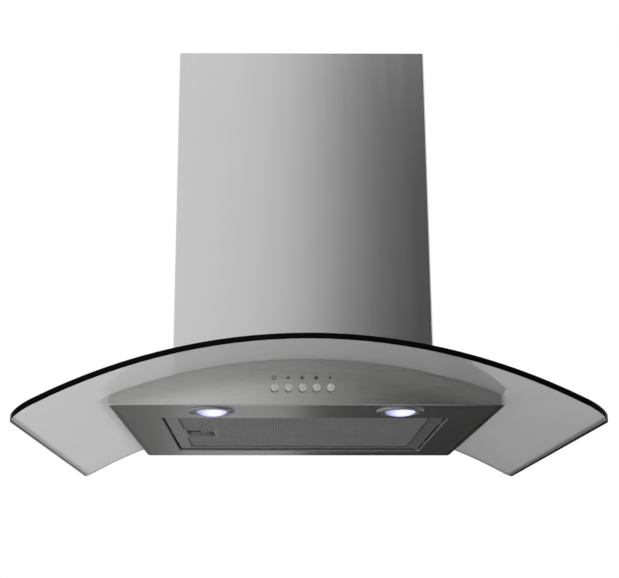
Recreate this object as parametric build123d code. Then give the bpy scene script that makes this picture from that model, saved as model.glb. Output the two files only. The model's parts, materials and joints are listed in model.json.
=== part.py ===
from build123d import *
from math import asin, cos, degrees, radians, sin, sqrt
import os

# Curved glass range hood, 60 cm class, in millimetres.
#
# The wall is the plane y = 0, the room lies towards -Y, and +Z is up. Heights below are counted
# from the underside of the body. The origin of the finished part is the centre of the four wall
# screw holes, so every piece is lowered by WALL_HOLE_Z when it is written.

# ---- stock and fits ----
SHEET = 1.0  # stainless sheet of the covers and panels
BODY_SHEET = 1.2  # heavier sheet of the body frame and chassis
FOLD = 1.0  # outside bend radius of the body frame's bottom fold
EDGE_ROUND = 0.7  # small rolled edges
SEAT_GAP = 0.3  # gap between a loose piece and its seat
RUN_GAP = 0.06  # radial gap of a pin or plunger that moves
SCREW_FIT = 0.05  # radial gap of a fixed screw or grommet in its hole
PIN_FIT = 0.02  # radial gap of a pin or shaft pressed into its hole
CURVE_GAP = 0.1  # between bent faces that lie on each other

# ---- filter opening, which sets the body's plan ----
OPENING_WIDTH = 329.0
OPENING_DEPTH = 262.0
OPENING_SIDE = 49.0  # strips of the underside beside the opening
OPENING_REAR = 44.0  # strip behind it
OPENING_FRONT = 81.0  # strip in front of it, with the lamps
OPENING_RIM = 4.0
OPENING_CORNER = 3.0
STOP_X = 85.0  # stop tabs over the filter, from the middle
STOP_HALF = 10.0
STOP_REACH = 6.0

# ---- body ----
BODY_CORNER = 5.0
BODY_SIDE_HEIGHT = 10.5  # from the body's underside to the glass at its side edges
BODY_LIP = 5.0  # inward fold along the bottom of the body frame
SEAM = 0.5  # open seam between the body frame and the underside panel
DECK_FLANGE = 5.0
DECK_REVEAL = 1.0  # the deck's opening inside the chassis flanges

# ---- glass canopy ----
GLASS_WIDTH = 600.0
GLASS_OVERHANG = 93.0  # in front of the body
GLASS_THICK = 6.0
GLASS_RADIUS = 590.0  # bend radius of the underside
GLASS_FRONT_CORNER = 25.0
GLASS_REAR_CORNER = 12.0
GLASS_WALL_GAP = 2.0
GLASS_ARRIS = 0.8  # ground chamfer along the edges
GLASS_HOLE_OUT = 15.0  # holes beside the chassis
GLASS_HOLE_REAR = 60.0
GLASS_HOLE_PITCH = 150.0
GLASS_HOLE_RADIUS = 5.0
SEAL_THICK = 1.0
SEAL_WIDTH = 10.0
SEAL_INSET = 2.0  # behind the body's wall
SEAL_ROOM = 4.0  # from the chassis and between the strips
WASHER_RADIUS = 9.0
WASHER_THICK = 1.5
WASHER_EDGE = 0.5
GLASS_NUT_RADIUS = 4.6  # over its corners
GLASS_NUT_THICK = 4.0
THREAD_SPARE = 2.0  # thread past its nut

# ---- filter ----
FILTER_CLEAR = 2.0  # around the filter in its opening
FILTER_THICK = 9.0
FILTER_RECESS = 3.5
FILTER_SHEET = 0.8
FILTER_BAND = 15.0
FILTER_TOP_BAND = 10.0
LAYER_GAP = 0.2  # between the filter's layers and its channel
MESH_COLUMNS = 10
MESH_ROWS = 7
MESH_SHARE = 0.82  # a diamond's share of its cell
CRIMP_PITCH = 11.5
CRIMP_FOIL = 1.0
HOOK_LENGTH = 7.0
HOOK_WIDTH = 18.0
HOOK_THICK = 1.2
HOOK_SPREAD = 150.0

# ---- filter latch ----
LATCH_WIDTH = 14.0
LATCH_THICK = 1.2
LATCH_TRAVEL = 5.0
LATCH_CLEAR = 0.5  # inside the opening once drawn back
STUD_RADIUS = 2.6
STUD_PROUD = 0.5
PULL_PROUD = 1.0
POCKET_SIDE = 2.0  # from the filter's band
POCKET_WIDTH = 36.0
POCKET_DEPTH = 56.0
POCKET_HEIGHT = 5.5
POCKET_RIM = 1.9
MESH_MARGIN = 2.0  # plain sheet kept round the pocket
LATCH_COIL_RADIUS = 1.6
LATCH_WIRE = 0.5
LATCH_COILS = 5
SPRING_SEAT = 0.1  # each end of a spring from its seat
SPRING_CHORDS = 10  # straight stretches in one turn

# ---- lamps ----
LAMP_X = 104.0
LAMP_FRONT = 35.0  # lamp centres behind the front panel
LAMP_TRIM_RADIUS = 26.0
LAMP_TRIM_DROP = 2.2
LAMP_TRIM_EDGE = 0.6
LAMP_HOLE_RADIUS = 23.0
LAMP_LENS_RADIUS = 17.0
LAMP_LENS_THICK = 1.7
LAMP_LENS_DROP = 0.4  # the lens' lower face below the panel
LENS_STEPS = ((15.8, 12.5, 0.7), (12.5, 7.0, 0.6))  # frusta under the lens: radii and height
LAMP_HEIGHT = 24.0
LAMP_WALL = 1.5
LAMP_SLEEVE = 8.0
LAMP_FIT = 0.4
FIN_GROOVES = 2
FIN_PITCH = 5.0
FIN_GAP = 1.2
FIN_DEPTH = 1.6
CLIP_REACH = 7.0
CLIP_HALF = 5.0
CLIP_THICK = 0.8
EMITTER_RADIUS = 3.2
EMITTER_HEIGHT = 2.2
LED_BOARD_RADIUS = 6.5
LED_BOARD_THICK = 1.6
LED_RECESS = 6.0  # the board's top below the can's top

# ---- buttons and switch block ----
BUTTON_COUNT = 5
BUTTON_PITCH = 15.1
BUTTON_ROW_X = -5.0
BUTTON_Z = 18.7
BUTTON_RADIUS = 4.45
BUTTON_PROUD = 3.5
BUTTON_TRAVEL = 3.0
BUTTON_EDGE = 0.8
BUTTON_DISH = 0.4
BUTTON_FLANGE = 1.5
BUTTON_FLANGE_OUT = 1.2
BUTTON_STEM = 2.0
STEM_INSIDE = 3.0  # of the switch block at rest
SPRING_ROOM = 6.8  # between a button's flange and the switch block
BUTTON_COIL_RADIUS = 3.1
BUTTON_WIRE = 0.6
BUTTON_COILS = 4
SWITCH_HEIGHT = 18.0
SWITCH_DEPTH = 25.0
SWITCH_SIDE = 8.0
SWITCH_CORNER = 2.0
SWITCH_BORE = 9.0
SWITCH_POST = 3.0
TAG = (1.0, 8.0, 5.0)  # a solder tag

# ---- lamp driver ----
DRIVER_X = -70.0
DRIVER_HALF = 30.0
DRIVER_DEPTH = 27.0
DRIVER_HEIGHT = 19.0
DRIVER_CORNER = 3.0
DRIVER_FOOT = 11.0
DRIVER_FOOT_THICK = 2.0

# ---- chimney covers ----
CHIMNEY_WIDTH = 312.0
CHIMNEY_DEPTH = 270.0
CHIMNEY_TOP = 480.0
CHIMNEY_RETURN = 10.0
CHIMNEY_CORNER = 2.0
REST_WIDTH = 20.0
REST_REACH = 3.0
REST_HEIGHT = 2.7
SLIDE_GAP = 0.6
UPPER_RISE = 21.5  # the stored upper cover's bottom above the glass
UPPER_LOW = 1.5  # its top below the lower cover's
VENT_SLOTS = 9
VENT_WIDTH = 4.0
VENT_HEIGHT = 30.0
VENT_PITCH = 12.0
VENT_DROP = 50.0
BRACKET_SHEET = 1.5
BRACKET_HEIGHT = 25.0
BRACKET_DROP = 10.0
BRACKET_HOLE_X = 100.0
BRACKET_ARM = 40.0
BRACKET_SCREW_Y = -25.0

# ---- chassis ----
CHASSIS_SIDE = 31.0  # from the chimney's side
CHASSIS_RECESS = 45.0  # behind the chimney's front
CHASSIS_TOP = 262.0
CHASSIS_FLANGE = 12.0
EAR_WIDTH = 17.0
EAR_ROUND = 8.0
COVER_ROUND = 3.0
RIB_HALF = 80.0
RIB_LOW = 120.0
RIB_PITCH = 45.0
RIB_HEIGHT = 6.0
RIB_PROUD = 0.6
RIB_COUNT = 3
WALL_HOLE_RADIUS = 4.0
WALL_HOLE_LOW = 100.0
WALL_HOLE_DROP = 22.0  # upper wall holes below the chassis' top
DECK_SCREW_REAR = 50.0
DECK_SCREW_PITCH = 130.0
COVER_SCREW_DROP = 22.0
COVER_SCREW_PITCH = 150.0

# ---- blower ----
FAN_DROP = 97.0  # fan axis below the chassis' top
FAN_RADIUS = 65.0
FAN_HALF = 38.0
FAN_BLADES = 36
FAN_RING = 5.0
FAN_RING_WIDTH = 2.0
FAN_DISC_HALF = 1.0
HUB_RADIUS = 12.0
HUB_HALF = 10.0
BLADE_DEPTH = 11.0
BLADE_SHEET = 0.8
BLADE_LEAD = 12.0  # degrees that a blade's tip runs ahead of its root
BLADE_BOW = 0.28  # share of the lead at the blade's middle
BLADE_CHORDS = 3
BLADE_INSIDE = 0.4  # tips under the rings' outside
SCROLL_CLEAR = 7.0  # round the fan, in the first quarter of the volute
SCROLL_GROWTH = 8.0  # added by each quarter
SCROLL_SIDE = 10.0  # beside the fan
SCROLL_WALL = 2.0
SCROLL_RIM = 4.0
SCROLL_REAR = 5.8  # from the rim to the chassis
SCROLL_TONGUE = 12.0  # outlet's rear wall in front of the fan's axis
SCROLL_NECK = 12.0  # rims end below the top plate
OUTLET_LAND = 10.0  # outlet flange past the scroll, front and rear
OUTLET_SIDE = 6.0  # and beside it
OUTLET_SHEET = 2.5
INLET_INSIDE = 2.0  # inlet radius under the blades' roots
INLET_FLARE = 8.0
FLARE_CHORDS = 3
SHAFT_RADIUS = 4.0
SHAFT_IN = 25.0
SHAFT_OUT = 4.0
SHAFT_EDGE = 0.6

# ---- motor ----
MOTOR_RADIUS = 42.0
MOTOR_LENGTH = 64.0
MOTOR_EDGE = 4.0
MOTOR_BOSS_RADIUS = 16.0
MOTOR_BOSS = 6.0
MOTOR_HUB_GAP = 4.0
MOTOR_BORE = 30.0
MOTOR_BAND = 16.0
MOTOR_BAND_PROUD = 1.0
MOTOR_STUD_RING = 26.0
MOTOR_STUD = 2.0
MOTOR_STUD_OUT = 9.5
GROMMET_NECK = 4.5
GROMMET_RADIUS = 7.0
GROMMET_FLANGE = 2.0
MOTOR_NUT_RADIUS = 3.9
MOTOR_NUT_THICK = 3.2
SPIDER_SHEET = 2.0
SPIDER_RADIUS = 36.0
SPIDER_HOLE = 14.0
SPIDER_ARM_HALF = 6.0
SPIDER_ROOM = 8.0  # legs outside the inlet's flare
SPIDER_FOOT = 7.0

# ---- capacitor ----
CAPACITOR_RADIUS = 15.0
CAPACITOR_HALF = 28.0
CAPACITOR_EDGE = 2.0
CAPACITOR_FRONT = 40.0  # behind the chassis' front
CAPACITOR_DROP = 62.0  # below its top
CAPACITOR_TAG = 9.0
STRAP_GAP = 0.1
STRAP_SHEET = 1.0
STRAP_HALF = 8.0
STRAP_REACH = 28.0
STRAP_SCREW = 22.0

# ---- mains terminal box ----
TERMINAL_SIDE = 30.0  # from the chassis' left side
TERMINAL_ROOM = 5.0  # behind the collar's flange
TERMINAL_WIDTH = 70.0
TERMINAL_DEPTH = 54.0
TERMINAL_HEIGHT = 30.0
TERMINAL_WALL = 2.0
TERMINAL_CORNER = 3.0
TERMINAL_POST = 4.5
TERMINAL_POLES = 3
POLE_PITCH = 12.0
POLE_DEPTH = 20.0
POLE_HEIGHT = 14.0
POLE_HOLE = 2.2
POLE_HOLE_DEEP = 6.0
POLE_SLIT = 1.2
POLE_SIDE = 5.0  # the block from the box's left side
GLAND_SIDE = 16.0  # the gland's axis from the box's right side
GLAND_RADIUS = 8.0
GLAND_BORE = 4.0
GLAND_INSIDE = 8.0
GLAND_OUTSIDE = 18.0
GLAND_HEX = 11.0
GLAND_HEX_THICK = 4.0
GLAND_DOME_RADIUS = 9.5
GLAND_DOME = 12.0
GLAND_EDGE = 3.0

# ---- outlet ----
COLLAR_RADIUS = 59.8  # outside, for a 120 mm duct
COLLAR_WALL = 1.8
COLLAR_HEIGHT = 45.0
COLLAR_LAND = 12.2  # flange round the collar
COLLAR_SHEET = 1.5
COLLAR_LEDGE = 5.0
FLAP_RISE = 20.0  # flap pin above the top plate
FLAP_CLEAR = 1.0
FLAP_THICK = 1.0
FLAP_PIN = 1.5
KNUCKLE_RADIUS = 3.0
KNUCKLE_CLEAR = 0.4
KNUCKLE_LENGTH = 16.0
KNUCKLE_PITCH = 50.0
KNUCKLE_START = 46.0

# ---- pan head screws ----
M4 = 2.0
M4_HEAD = 4.0
M4_LENGTH = 6.0
M5 = 2.5
M5_HEAD = 4.75
HEAD_HEIGHT = 2.6
HEAD_EDGE = 0.9

# ---- worked out ----
BODY_WIDTH = OPENING_WIDTH + 2 * OPENING_SIDE
BODY_DEPTH = OPENING_DEPTH + OPENING_REAR + OPENING_FRONT
GLASS_DEPTH = BODY_DEPTH + GLASS_OVERHANG
ARCH_Z = BODY_SIDE_HEIGHT - sqrt(GLASS_RADIUS**2 - (BODY_WIDTH / 2) ** 2)  # axis of the bend
GLASS_CREST = ARCH_Z + GLASS_RADIUS  # underside of the glass in the middle
GLASS_TOP = GLASS_RADIUS + GLASS_THICK
DECK_RADIUS = GLASS_RADIUS - SEAL_THICK
FRONT = -BODY_DEPTH
PANEL_BACK = FRONT + BODY_SHEET
PANEL_TOP = BODY_SHEET + SHEET  # top of the underside panel's rim, on the frame's lip
OPENING_Y = -OPENING_REAR - OPENING_DEPTH / 2
FILTER_WIDTH = OPENING_WIDTH - 2 * FILTER_CLEAR
FILTER_DEPTH = OPENING_DEPTH - 2 * FILTER_CLEAR
FILTER_TOP = FILTER_RECESS + FILTER_THICK
HOOK_Z = FILTER_RECESS + FILTER_SHEET
LAMP_Y = FRONT + LAMP_FRONT
SLEEVE_RADIUS = LAMP_HOLE_RADIUS - LAMP_FIT
LENS_TOP = LAMP_LENS_THICK - LAMP_LENS_DROP
LED_TOP = LAMP_HEIGHT - LED_RECESS
CHIMNEY_HALF = CHIMNEY_WIDTH / 2
CHASSIS_HALF = CHIMNEY_HALF - CHASSIS_SIDE
CHASSIS_FRONT = -CHIMNEY_DEPTH + CHASSIS_RECESS
PLATE_UNDER = CHASSIS_TOP - BODY_SHEET
EAR_HALF = CHASSIS_HALF + EAR_WIDTH
WALL_HOLE_X = CHASSIS_HALF + EAR_WIDTH / 2
WALL_HOLE_HEIGHTS = (WALL_HOLE_LOW, CHASSIS_TOP - WALL_HOLE_DROP)
WALL_HOLE_Z = sum(WALL_HOLE_HEIGHTS) / 2
GLASS_HOLE_X = CHASSIS_HALF + GLASS_HOLE_OUT
GLASS_HOLE_Y = (-GLASS_HOLE_REAR, -GLASS_HOLE_REAR - GLASS_HOLE_PITCH)
SCROLL_RADIUS = FAN_RADIUS + SCROLL_CLEAR
SCROLL_HALF = FAN_HALF + SCROLL_SIDE
INLET_RADIUS = FAN_RADIUS - BLADE_DEPTH - INLET_INSIDE
FAN_Y = -BODY_SHEET - SCROLL_REAR - SCROLL_RIM - SCROLL_WALL - SCROLL_RADIUS
FAN_Z = CHASSIS_TOP - FAN_DROP
SCROLL_FRONT = FAN_Y - SCROLL_RADIUS - 3 * SCROLL_GROWTH
OUTLET_REAR = FAN_Y - SCROLL_TONGUE
OUTLET_Y = (SCROLL_FRONT + OUTLET_REAR) / 2
MOTOR_FRONT = -HUB_HALF - MOTOR_HUB_GAP
MOTOR_REAR = MOTOR_FRONT - MOTOR_BOSS - MOTOR_LENGTH
COLLAR_FLANGE = COLLAR_RADIUS + COLLAR_LAND
COLLAR_INSIDE = COLLAR_RADIUS - COLLAR_WALL
COLLAR_TOP = CHASSIS_TOP + COLLAR_HEIGHT
FLAP_RADIUS = COLLAR_INSIDE - FLAP_CLEAR
FLAP_Z = CHASSIS_TOP + FLAP_RISE
SWITCH_FRONT = PANEL_BACK + SEAT_GAP + BUTTON_FLANGE + SPRING_ROOM
CAPACITOR_X = CHASSIS_HALF - BODY_SHEET - STRAP_SHEET - 2 * STRAP_GAP - CAPACITOR_RADIUS
CAPACITOR_Y = CHASSIS_FRONT + CAPACITOR_FRONT
CAPACITOR_Z = CHASSIS_TOP - CAPACITOR_DROP
TERMINAL_LEFT = -CHASSIS_HALF + TERMINAL_SIDE
TERMINAL_FRONT = OUTLET_Y + COLLAR_FLANGE + TERMINAL_ROOM
TERMINAL_X = (TERMINAL_LEFT, TERMINAL_LEFT + TERMINAL_WIDTH)
TERMINAL_Y = (TERMINAL_FRONT, TERMINAL_FRONT + TERMINAL_DEPTH)
TERMINAL_TOP = CHASSIS_TOP + TERMINAL_HEIGHT
GLAND_X = TERMINAL_X[1] - GLAND_SIDE
GLAND_Y = sum(TERMINAL_Y) / 2
GLAND_Z = (TERMINAL_TOP + TERMINAL_WALL - GLAND_INSIDE, TERMINAL_TOP + TERMINAL_WALL + GLAND_OUTSIDE)
UPPER_HALF = CHIMNEY_HALF - SHEET - SLIDE_GAP
UPPER_FRONT = -CHIMNEY_DEPTH + SHEET + SLIDE_GAP
UPPER_REAR = -SHEET - SLIDE_GAP
UPPER_BOTTOM = GLASS_CREST + GLASS_THICK + UPPER_RISE
UPPER_TOP = CHIMNEY_TOP - UPPER_LOW
BRACKET_Z = UPPER_TOP - BRACKET_DROP - BRACKET_HEIGHT / 2
CUT = 1.0  # how far a cutting tool runs past what it cuts
FAR = 2 * GLASS_WIDTH  # longer than the hood, for cutting tools


def block(x, y, z):
    """A box between the two values given along each axis."""
    size = [abs(pair[1] - pair[0]) for pair in (x, y, z)]
    middle = [(pair[0] + pair[1]) / 2 for pair in (x, y, z)]
    return Pos(*middle) * Box(*size)


def rod_x(radius, y, z, x):
    return Pos((x[0] + x[1]) / 2, y, z) * Rot(0, 90, 0) * Cylinder(radius, abs(x[1] - x[0]))


def rod_y(radius, x, z, y):
    return Pos(x, (y[0] + y[1]) / 2, z) * Rot(90, 0, 0) * Cylinder(radius, abs(y[1] - y[0]))


def rod_z(radius, x, y, z):
    return Pos(x, y, (z[0] + z[1]) / 2) * Cylinder(radius, abs(z[1] - z[0]))


def under_arch(radius):
    """Everything within this radius of the glass bend's axis."""
    return rod_y(radius, 0, ARCH_Z, (-FAR, FAR))


def arch_sheet(inner, outer, plan):
    """A sheet that follows the glass, as far as the plan prism reaches."""
    return plan & (under_arch(outer) - under_arch(inner))


def on_arch(x, y, radius):
    """A place on the bend at this radius, with its local Z square to the glass."""
    return Pos(0, y, ARCH_Z) * Rot(0, degrees(asin(x / GLASS_TOP)), 0) * Pos(0, 0, radius)


def body_prism(inset, z):
    """The body's plan, drawn in by inset, between two heights."""
    corner = max(BODY_CORNER - inset, FILTER_SHEET)
    plan = RectangleRounded(BODY_WIDTH - 2 * inset, BODY_DEPTH - 2 * inset, corner)
    return Pos(0, -BODY_DEPTH / 2, z[0]) * extrude(plan, z[1] - z[0])


def opening_prism(grow, z):
    """The filter opening's plan, grown all round, between two heights."""
    corner = max(OPENING_CORNER + grow, FILTER_SHEET)
    plan = RectangleRounded(OPENING_WIDTH + 2 * grow, OPENING_DEPTH + 2 * grow, corner)
    return Pos(0, OPENING_Y, z[0]) * extrude(plan, z[1] - z[0])


def ring_profile(points):
    """A solid turned about the Z axis from (radius, height) points."""
    profile = Polyline(*[(r, 0, z) for r, z in points], close=True)
    return revolve(Face(Wire(profile.edges())), Axis.Z, 360)


def pan_screw(radius, head, length):
    """A pan head screw. Its head stands on z = 0 and its thread goes down."""
    cap = Pos(0, 0, HEAD_HEIGHT / 2) * Cylinder(head, HEAD_HEIGHT)
    cap = chamfer(cap.edges().group_by(Axis.Z)[-1], HEAD_EDGE)
    return cap + Pos(0, 0, -length / 2) * Cylinder(radius, length)


def screw_hole(place, radius, depth):
    """A hole for a fixed screw, depth deep each way from its place."""
    return place * Cylinder(radius + SCREW_FIT, 2 * depth)


def hex_nut(radius, thick, bore):
    return extrude(RegularPolygon(radius, 6), thick) - Cylinder(bore + SCREW_FIT, 3 * thick)


def coil_spring(mean_radius, wire, length, turns):
    """A coil of straight chords along Z, from z = 0, and length long over its wire."""
    steps = SPRING_CHORDS * turns
    rise = (length - wire) / steps
    turn = 2 * 180 / SPRING_CHORDS

    def at(step):
        angle = radians(step * turn)
        return (mean_radius * cos(angle), mean_radius * sin(angle), wire / 2 + step * rise)

    path = Polyline(*[at(step) for step in range(steps + 1)])
    section = Plane(origin=path @ 0, z_dir=path % 0) * RegularPolygon(wire / 2, 6)
    return sweep(section, path=path, transition=Transition.RIGHT)


# ---- glass ----


def glass_canopy():
    """Bent glass with rounded corners, ground edges and a notch round the chassis."""
    half = GLASS_WIDTH / 2
    plan = block((-half, half), (-GLASS_DEPTH, -GLASS_WALL_GAP), (ARCH_Z, FAR))
    plan = fillet(plan.edges().filter_by(Axis.Z).sort_by(Axis.Y)[:2], GLASS_FRONT_CORNER)
    plan = fillet(plan.edges().filter_by(Axis.Z).sort_by(Axis.Y)[-2:], GLASS_REAR_CORNER)
    glass = arch_sheet(GLASS_RADIUS, GLASS_TOP, plan)
    broad = sorted(glass.faces(), key=lambda face: face.area)[-2:]
    glass = chamfer(ShapeList(e for face in broad for e in face.edges()), GLASS_ARRIS)
    notch = CHASSIS_HALF + SEAT_GAP + SHEET
    glass -= block((-notch, notch), (CHASSIS_FRONT - 2 * SHEET - SEAT_GAP, CUT), (0, FAR))
    for place in glass_hole_places(GLASS_RADIUS):
        glass -= place * Cylinder(GLASS_HOLE_RADIUS, 4 * GLASS_THICK)
    return glass


def glass_hole_places(radius):
    return [on_arch(x, y, radius) for x in (-GLASS_HOLE_X, GLASS_HOLE_X) for y in GLASS_HOLE_Y]


def glass_seal():
    """Foam strips between deck and glass: round the body's edge and round the chassis."""
    up = (0, FAR)
    through = (-CUT, FAR + CUT)
    inset = BODY_SHEET + SEAL_INSET
    inside = CHASSIS_HALF + SEAL_ROOM
    outer = body_prism(inset, up) - body_prism(inset + SEAL_WIDTH, through)
    outer -= block((-inside, inside), (CHASSIS_FRONT, CUT), through)
    wide = GLASS_HOLE_X + SEAL_WIDTH
    front = CHASSIS_FRONT - 2 * SHEET - SEAL_ROOM
    rear = -inset - SEAL_WIDTH - SEAL_ROOM
    inner = block((-wide, wide), (min(front, *GLASS_HOLE_Y) - SEAL_WIDTH, rear), up)
    inner -= block((-inside, inside), (front, 0), through)
    low = DECK_RADIUS + CURVE_GAP
    high = GLASS_RADIUS - CURVE_GAP
    seal = arch_sheet(low, high, outer) + arch_sheet(low, high, inner)
    for place in glass_hole_places(GLASS_RADIUS):
        seal -= place * Cylinder(GLASS_HOLE_RADIUS + SEAT_GAP, 4 * GLASS_THICK)
    return seal


def glass_fixings():
    """Grommets in the glass, washers and screws on it, and nuts under the deck."""
    grommet = Cylinder(GLASS_HOLE_RADIUS - SCREW_FIT, GLASS_TOP - DECK_RADIUS)
    grommet -= Cylinder(M5 + SCREW_FIT, FAR)
    washer = Cylinder(WASHER_RADIUS, WASHER_THICK)
    washer = chamfer(washer.edges().group_by(Axis.Z)[-1], WASHER_EDGE) - Cylinder(M5 + SCREW_FIT, FAR)
    nut = hex_nut(GLASS_NUT_RADIUS, GLASS_NUT_THICK, M5)
    head = GLASS_TOP + WASHER_THICK
    nut_at = DECK_RADIUS - SHEET - GLASS_NUT_THICK - SCREW_FIT
    screw = pan_screw(M5, M5_HEAD, head - nut_at + THREAD_SPARE)
    middle = (GLASS_TOP + DECK_RADIUS) / 2
    return {
        "glass_grommets": [place * grommet for place in glass_hole_places(middle)],
        "glass_washers": [place * washer for place in glass_hole_places(GLASS_TOP + WASHER_THICK / 2)],
        "glass_screws": [place * screw for place in glass_hole_places(head)],
        "glass_nuts": [place * nut for place in glass_hole_places(nut_at)],
    }


# ---- body ----


def body_frame():
    """Front panel, sides and rear wall in one ring, cut to the arch along its top."""
    ring = body_prism(0, (0, FAR)) - body_prism(BODY_SHEET, (-CUT, FAR + CUT))
    ring &= under_arch(GLASS_RADIUS - SEAT_GAP)
    lip = body_prism(0, (0, BODY_SHEET)) - body_prism(BODY_LIP, (-CUT, FAR))
    frame = ring + lip
    middle = BODY_LIP / 2
    outer = [
        e
        for e in frame.edges().group_by(Axis.Z)[0]
        if abs(e.center().X) > BODY_WIDTH / 2 - middle or e.center().Y < FRONT + middle
    ]
    frame = fillet(outer, FOLD)
    for x in button_places():
        frame -= rod_y(BUTTON_RADIUS + SEAT_GAP, x, BUTTON_Z, (FRONT - CUT, PANEL_BACK + CUT))
    return frame


def underside_panel():
    """The panel on the frame's lip, with the rimmed filter opening, stop tabs and lamp holes."""
    edge = BODY_LIP + SEAM
    inside = body_prism(edge + SHEET, (-CUT, FAR))
    panel = body_prism(edge, (0, SHEET))
    panel += body_prism(edge, (0, PANEL_TOP)) - inside
    panel += body_prism(BODY_SHEET + SEAT_GAP, (BODY_SHEET, PANEL_TOP)) - inside
    panel += opening_prism(SHEET, (0, OPENING_RIM))
    panel -= opening_prism(0, (-CUT, OPENING_RIM + CUT))
    half = (OPENING_WIDTH / 2 + SHEET, OPENING_DEPTH / 2 + SHEET)
    rolled = [
        e
        for e in panel.edges().group_by(Axis.Z)[0]
        if abs(e.center().X) < half[0] and abs(e.center().Y - OPENING_Y) < half[1]
    ]
    panel = fillet(rolled, EDGE_ROUND)
    for x in (-LAMP_X, LAMP_X):
        panel -= rod_z(LAMP_HOLE_RADIUS, x, LAMP_Y, (-CUT, PANEL_TOP))
    stop = FILTER_TOP + SEAT_GAP
    for x in (-STOP_X, STOP_X):
        for side in (-1, 1):
            rim = OPENING_Y + side * half[1]
            outer = rim + side * SHEET
            across = (x - STOP_HALF, x + STOP_HALF)
            panel += block(across, (rim, outer), (SHEET / 2, stop + SHEET))
            panel += block(across, (rim - side * STOP_REACH, outer), (stop, stop + SHEET))
    return panel


def arched_deck():
    """The body's top, under the glass, with the suction opening and a flange round its edge."""
    deck = arch_sheet(DECK_RADIUS - SHEET, DECK_RADIUS, body_prism(BODY_SHEET, (0, FAR)))
    skirt = body_prism(BODY_SHEET, (0, FAR)) - body_prism(BODY_SHEET + SHEET, (-CUT, FAR + CUT))
    deck += arch_sheet(DECK_RADIUS - DECK_FLANGE, DECK_RADIUS, skirt)
    deck -= block((-FAR, FAR), (-FAR, FAR), (-FAR, PANEL_TOP + SEAT_GAP))
    half = CHASSIS_HALF - CHASSIS_FLANGE - DECK_REVEAL
    front = CHASSIS_FRONT + CHASSIS_FLANGE + DECK_REVEAL
    deck -= block((-half, half), (front, -CHASSIS_FLANGE - 2 * DECK_REVEAL), (0, FAR))
    for place in glass_hole_places(DECK_RADIUS):
        deck -= screw_hole(place, M5, 2 * SHEET)
    for place in deck_screw_places(DECK_RADIUS):
        deck -= screw_hole(place, M4, 2 * SHEET)
    return deck


# ---- filter ----


def filter_plan(inset, z):
    return opening_prism(-FILTER_CLEAR - inset, z)


def filter_frame():
    """A folded channel all round, with two hooks on its right side and a slot for the latch."""
    lid = FILTER_TOP - FILTER_SHEET
    frame = filter_plan(0, (FILTER_RECESS, FILTER_TOP))
    frame -= filter_plan(FILTER_SHEET, (HOOK_Z, lid))
    frame -= filter_plan(FILTER_BAND, (0, lid))
    frame -= filter_plan(FILTER_TOP_BAND, (HOOK_Z, FAR))
    edge = FILTER_WIDTH / 2
    for y in (OPENING_Y - HOOK_SPREAD / 2, OPENING_Y + HOOK_SPREAD / 2):
        across = (y - HOOK_WIDTH / 2, y + HOOK_WIDTH / 2)
        frame += block((edge - FILTER_SHEET, edge + HOOK_LENGTH), across, (HOOK_Z, HOOK_Z + HOOK_THICK))
    return frame - latch_slot(-edge - CUT, -edge + FILTER_SHEET + CUT)


def latch_slot(low, high):
    """The way that the latch takes through a wall."""
    half = LATCH_WIDTH / 2 + SEAT_GAP
    z = (HOOK_Z, HOOK_Z + LATCH_THICK + 3 * SEAT_GAP)
    return block((low, high), (OPENING_Y - half, OPENING_Y + half), z)


def pocket_box(grow, low=HOOK_Z):
    """The finger pocket's outside, grown all round, from a given height."""
    left = -FILTER_WIDTH / 2 + FILTER_BAND + POCKET_SIDE - grow
    half = POCKET_DEPTH / 2 + grow
    across = (OPENING_Y - half, OPENING_Y + half)
    return block((left, left + POCKET_WIDTH + 2 * grow), across, (low, HOOK_Z + POCKET_HEIGHT + grow))


def mesh_sheet(z):
    """An expanded metal sheet: staggered diamonds between strands."""
    sheet = filter_plan(FILTER_SHEET + LAYER_GAP, (z, z + FILTER_SHEET))
    wide = (FILTER_WIDTH - 2 * FILTER_BAND) / MESH_COLUMNS
    deep = (FILTER_DEPTH - 2 * FILTER_BAND) / MESH_ROWS
    corners = ((-wide / 2, 0), (0, -deep / 2), (wide / 2, 0), (0, deep / 2))
    diamond = make_face(Polyline(*corners, close=True))
    cell = extrude(scale(diamond, MESH_SHARE), FILTER_SHEET + 2 * CUT)

    def grid(columns, rows):
        across = [(column - (columns - 1) / 2) * wide for column in range(columns)]
        along = [OPENING_Y + (row - (rows - 1) / 2) * deep for row in range(rows)]
        return [Pos(x, y, z - CUT) * cell for x in across for y in along]

    keep_out = pocket_box(MESH_MARGIN, 0)
    cells = grid(MESH_COLUMNS, MESH_ROWS) + grid(MESH_COLUMNS - 1, MESH_ROWS - 1)
    cells = [c for c in cells if not (c & keep_out)]
    return sheet - cells - pocket_box(SEAT_GAP, 0)


def crimped_pad(low, high):
    """A crimped foil between the mesh sheets, with its ridges from front to rear."""
    half = FILTER_WIDTH / 2 - FILTER_SHEET - LAYER_GAP
    steps = 2 * round(2 * half / CRIMP_PITCH)
    lift = high - low - CRIMP_FOIL
    line = [(-half + 2 * half * n / steps, low + lift * (n % 2)) for n in range(steps + 1)]
    ring = line + [(x, z + CRIMP_FOIL) for x, z in reversed(line)]
    section = Face(Wire(Polyline(*[(x, 0, z) for x, z in ring], close=True).edges()))
    reach = FILTER_DEPTH / 2 - FILTER_SHEET - LAYER_GAP
    return Pos(0, OPENING_Y - reach, 0) * Solid.extrude(section, Vector(0, 2 * reach, 0))


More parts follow.
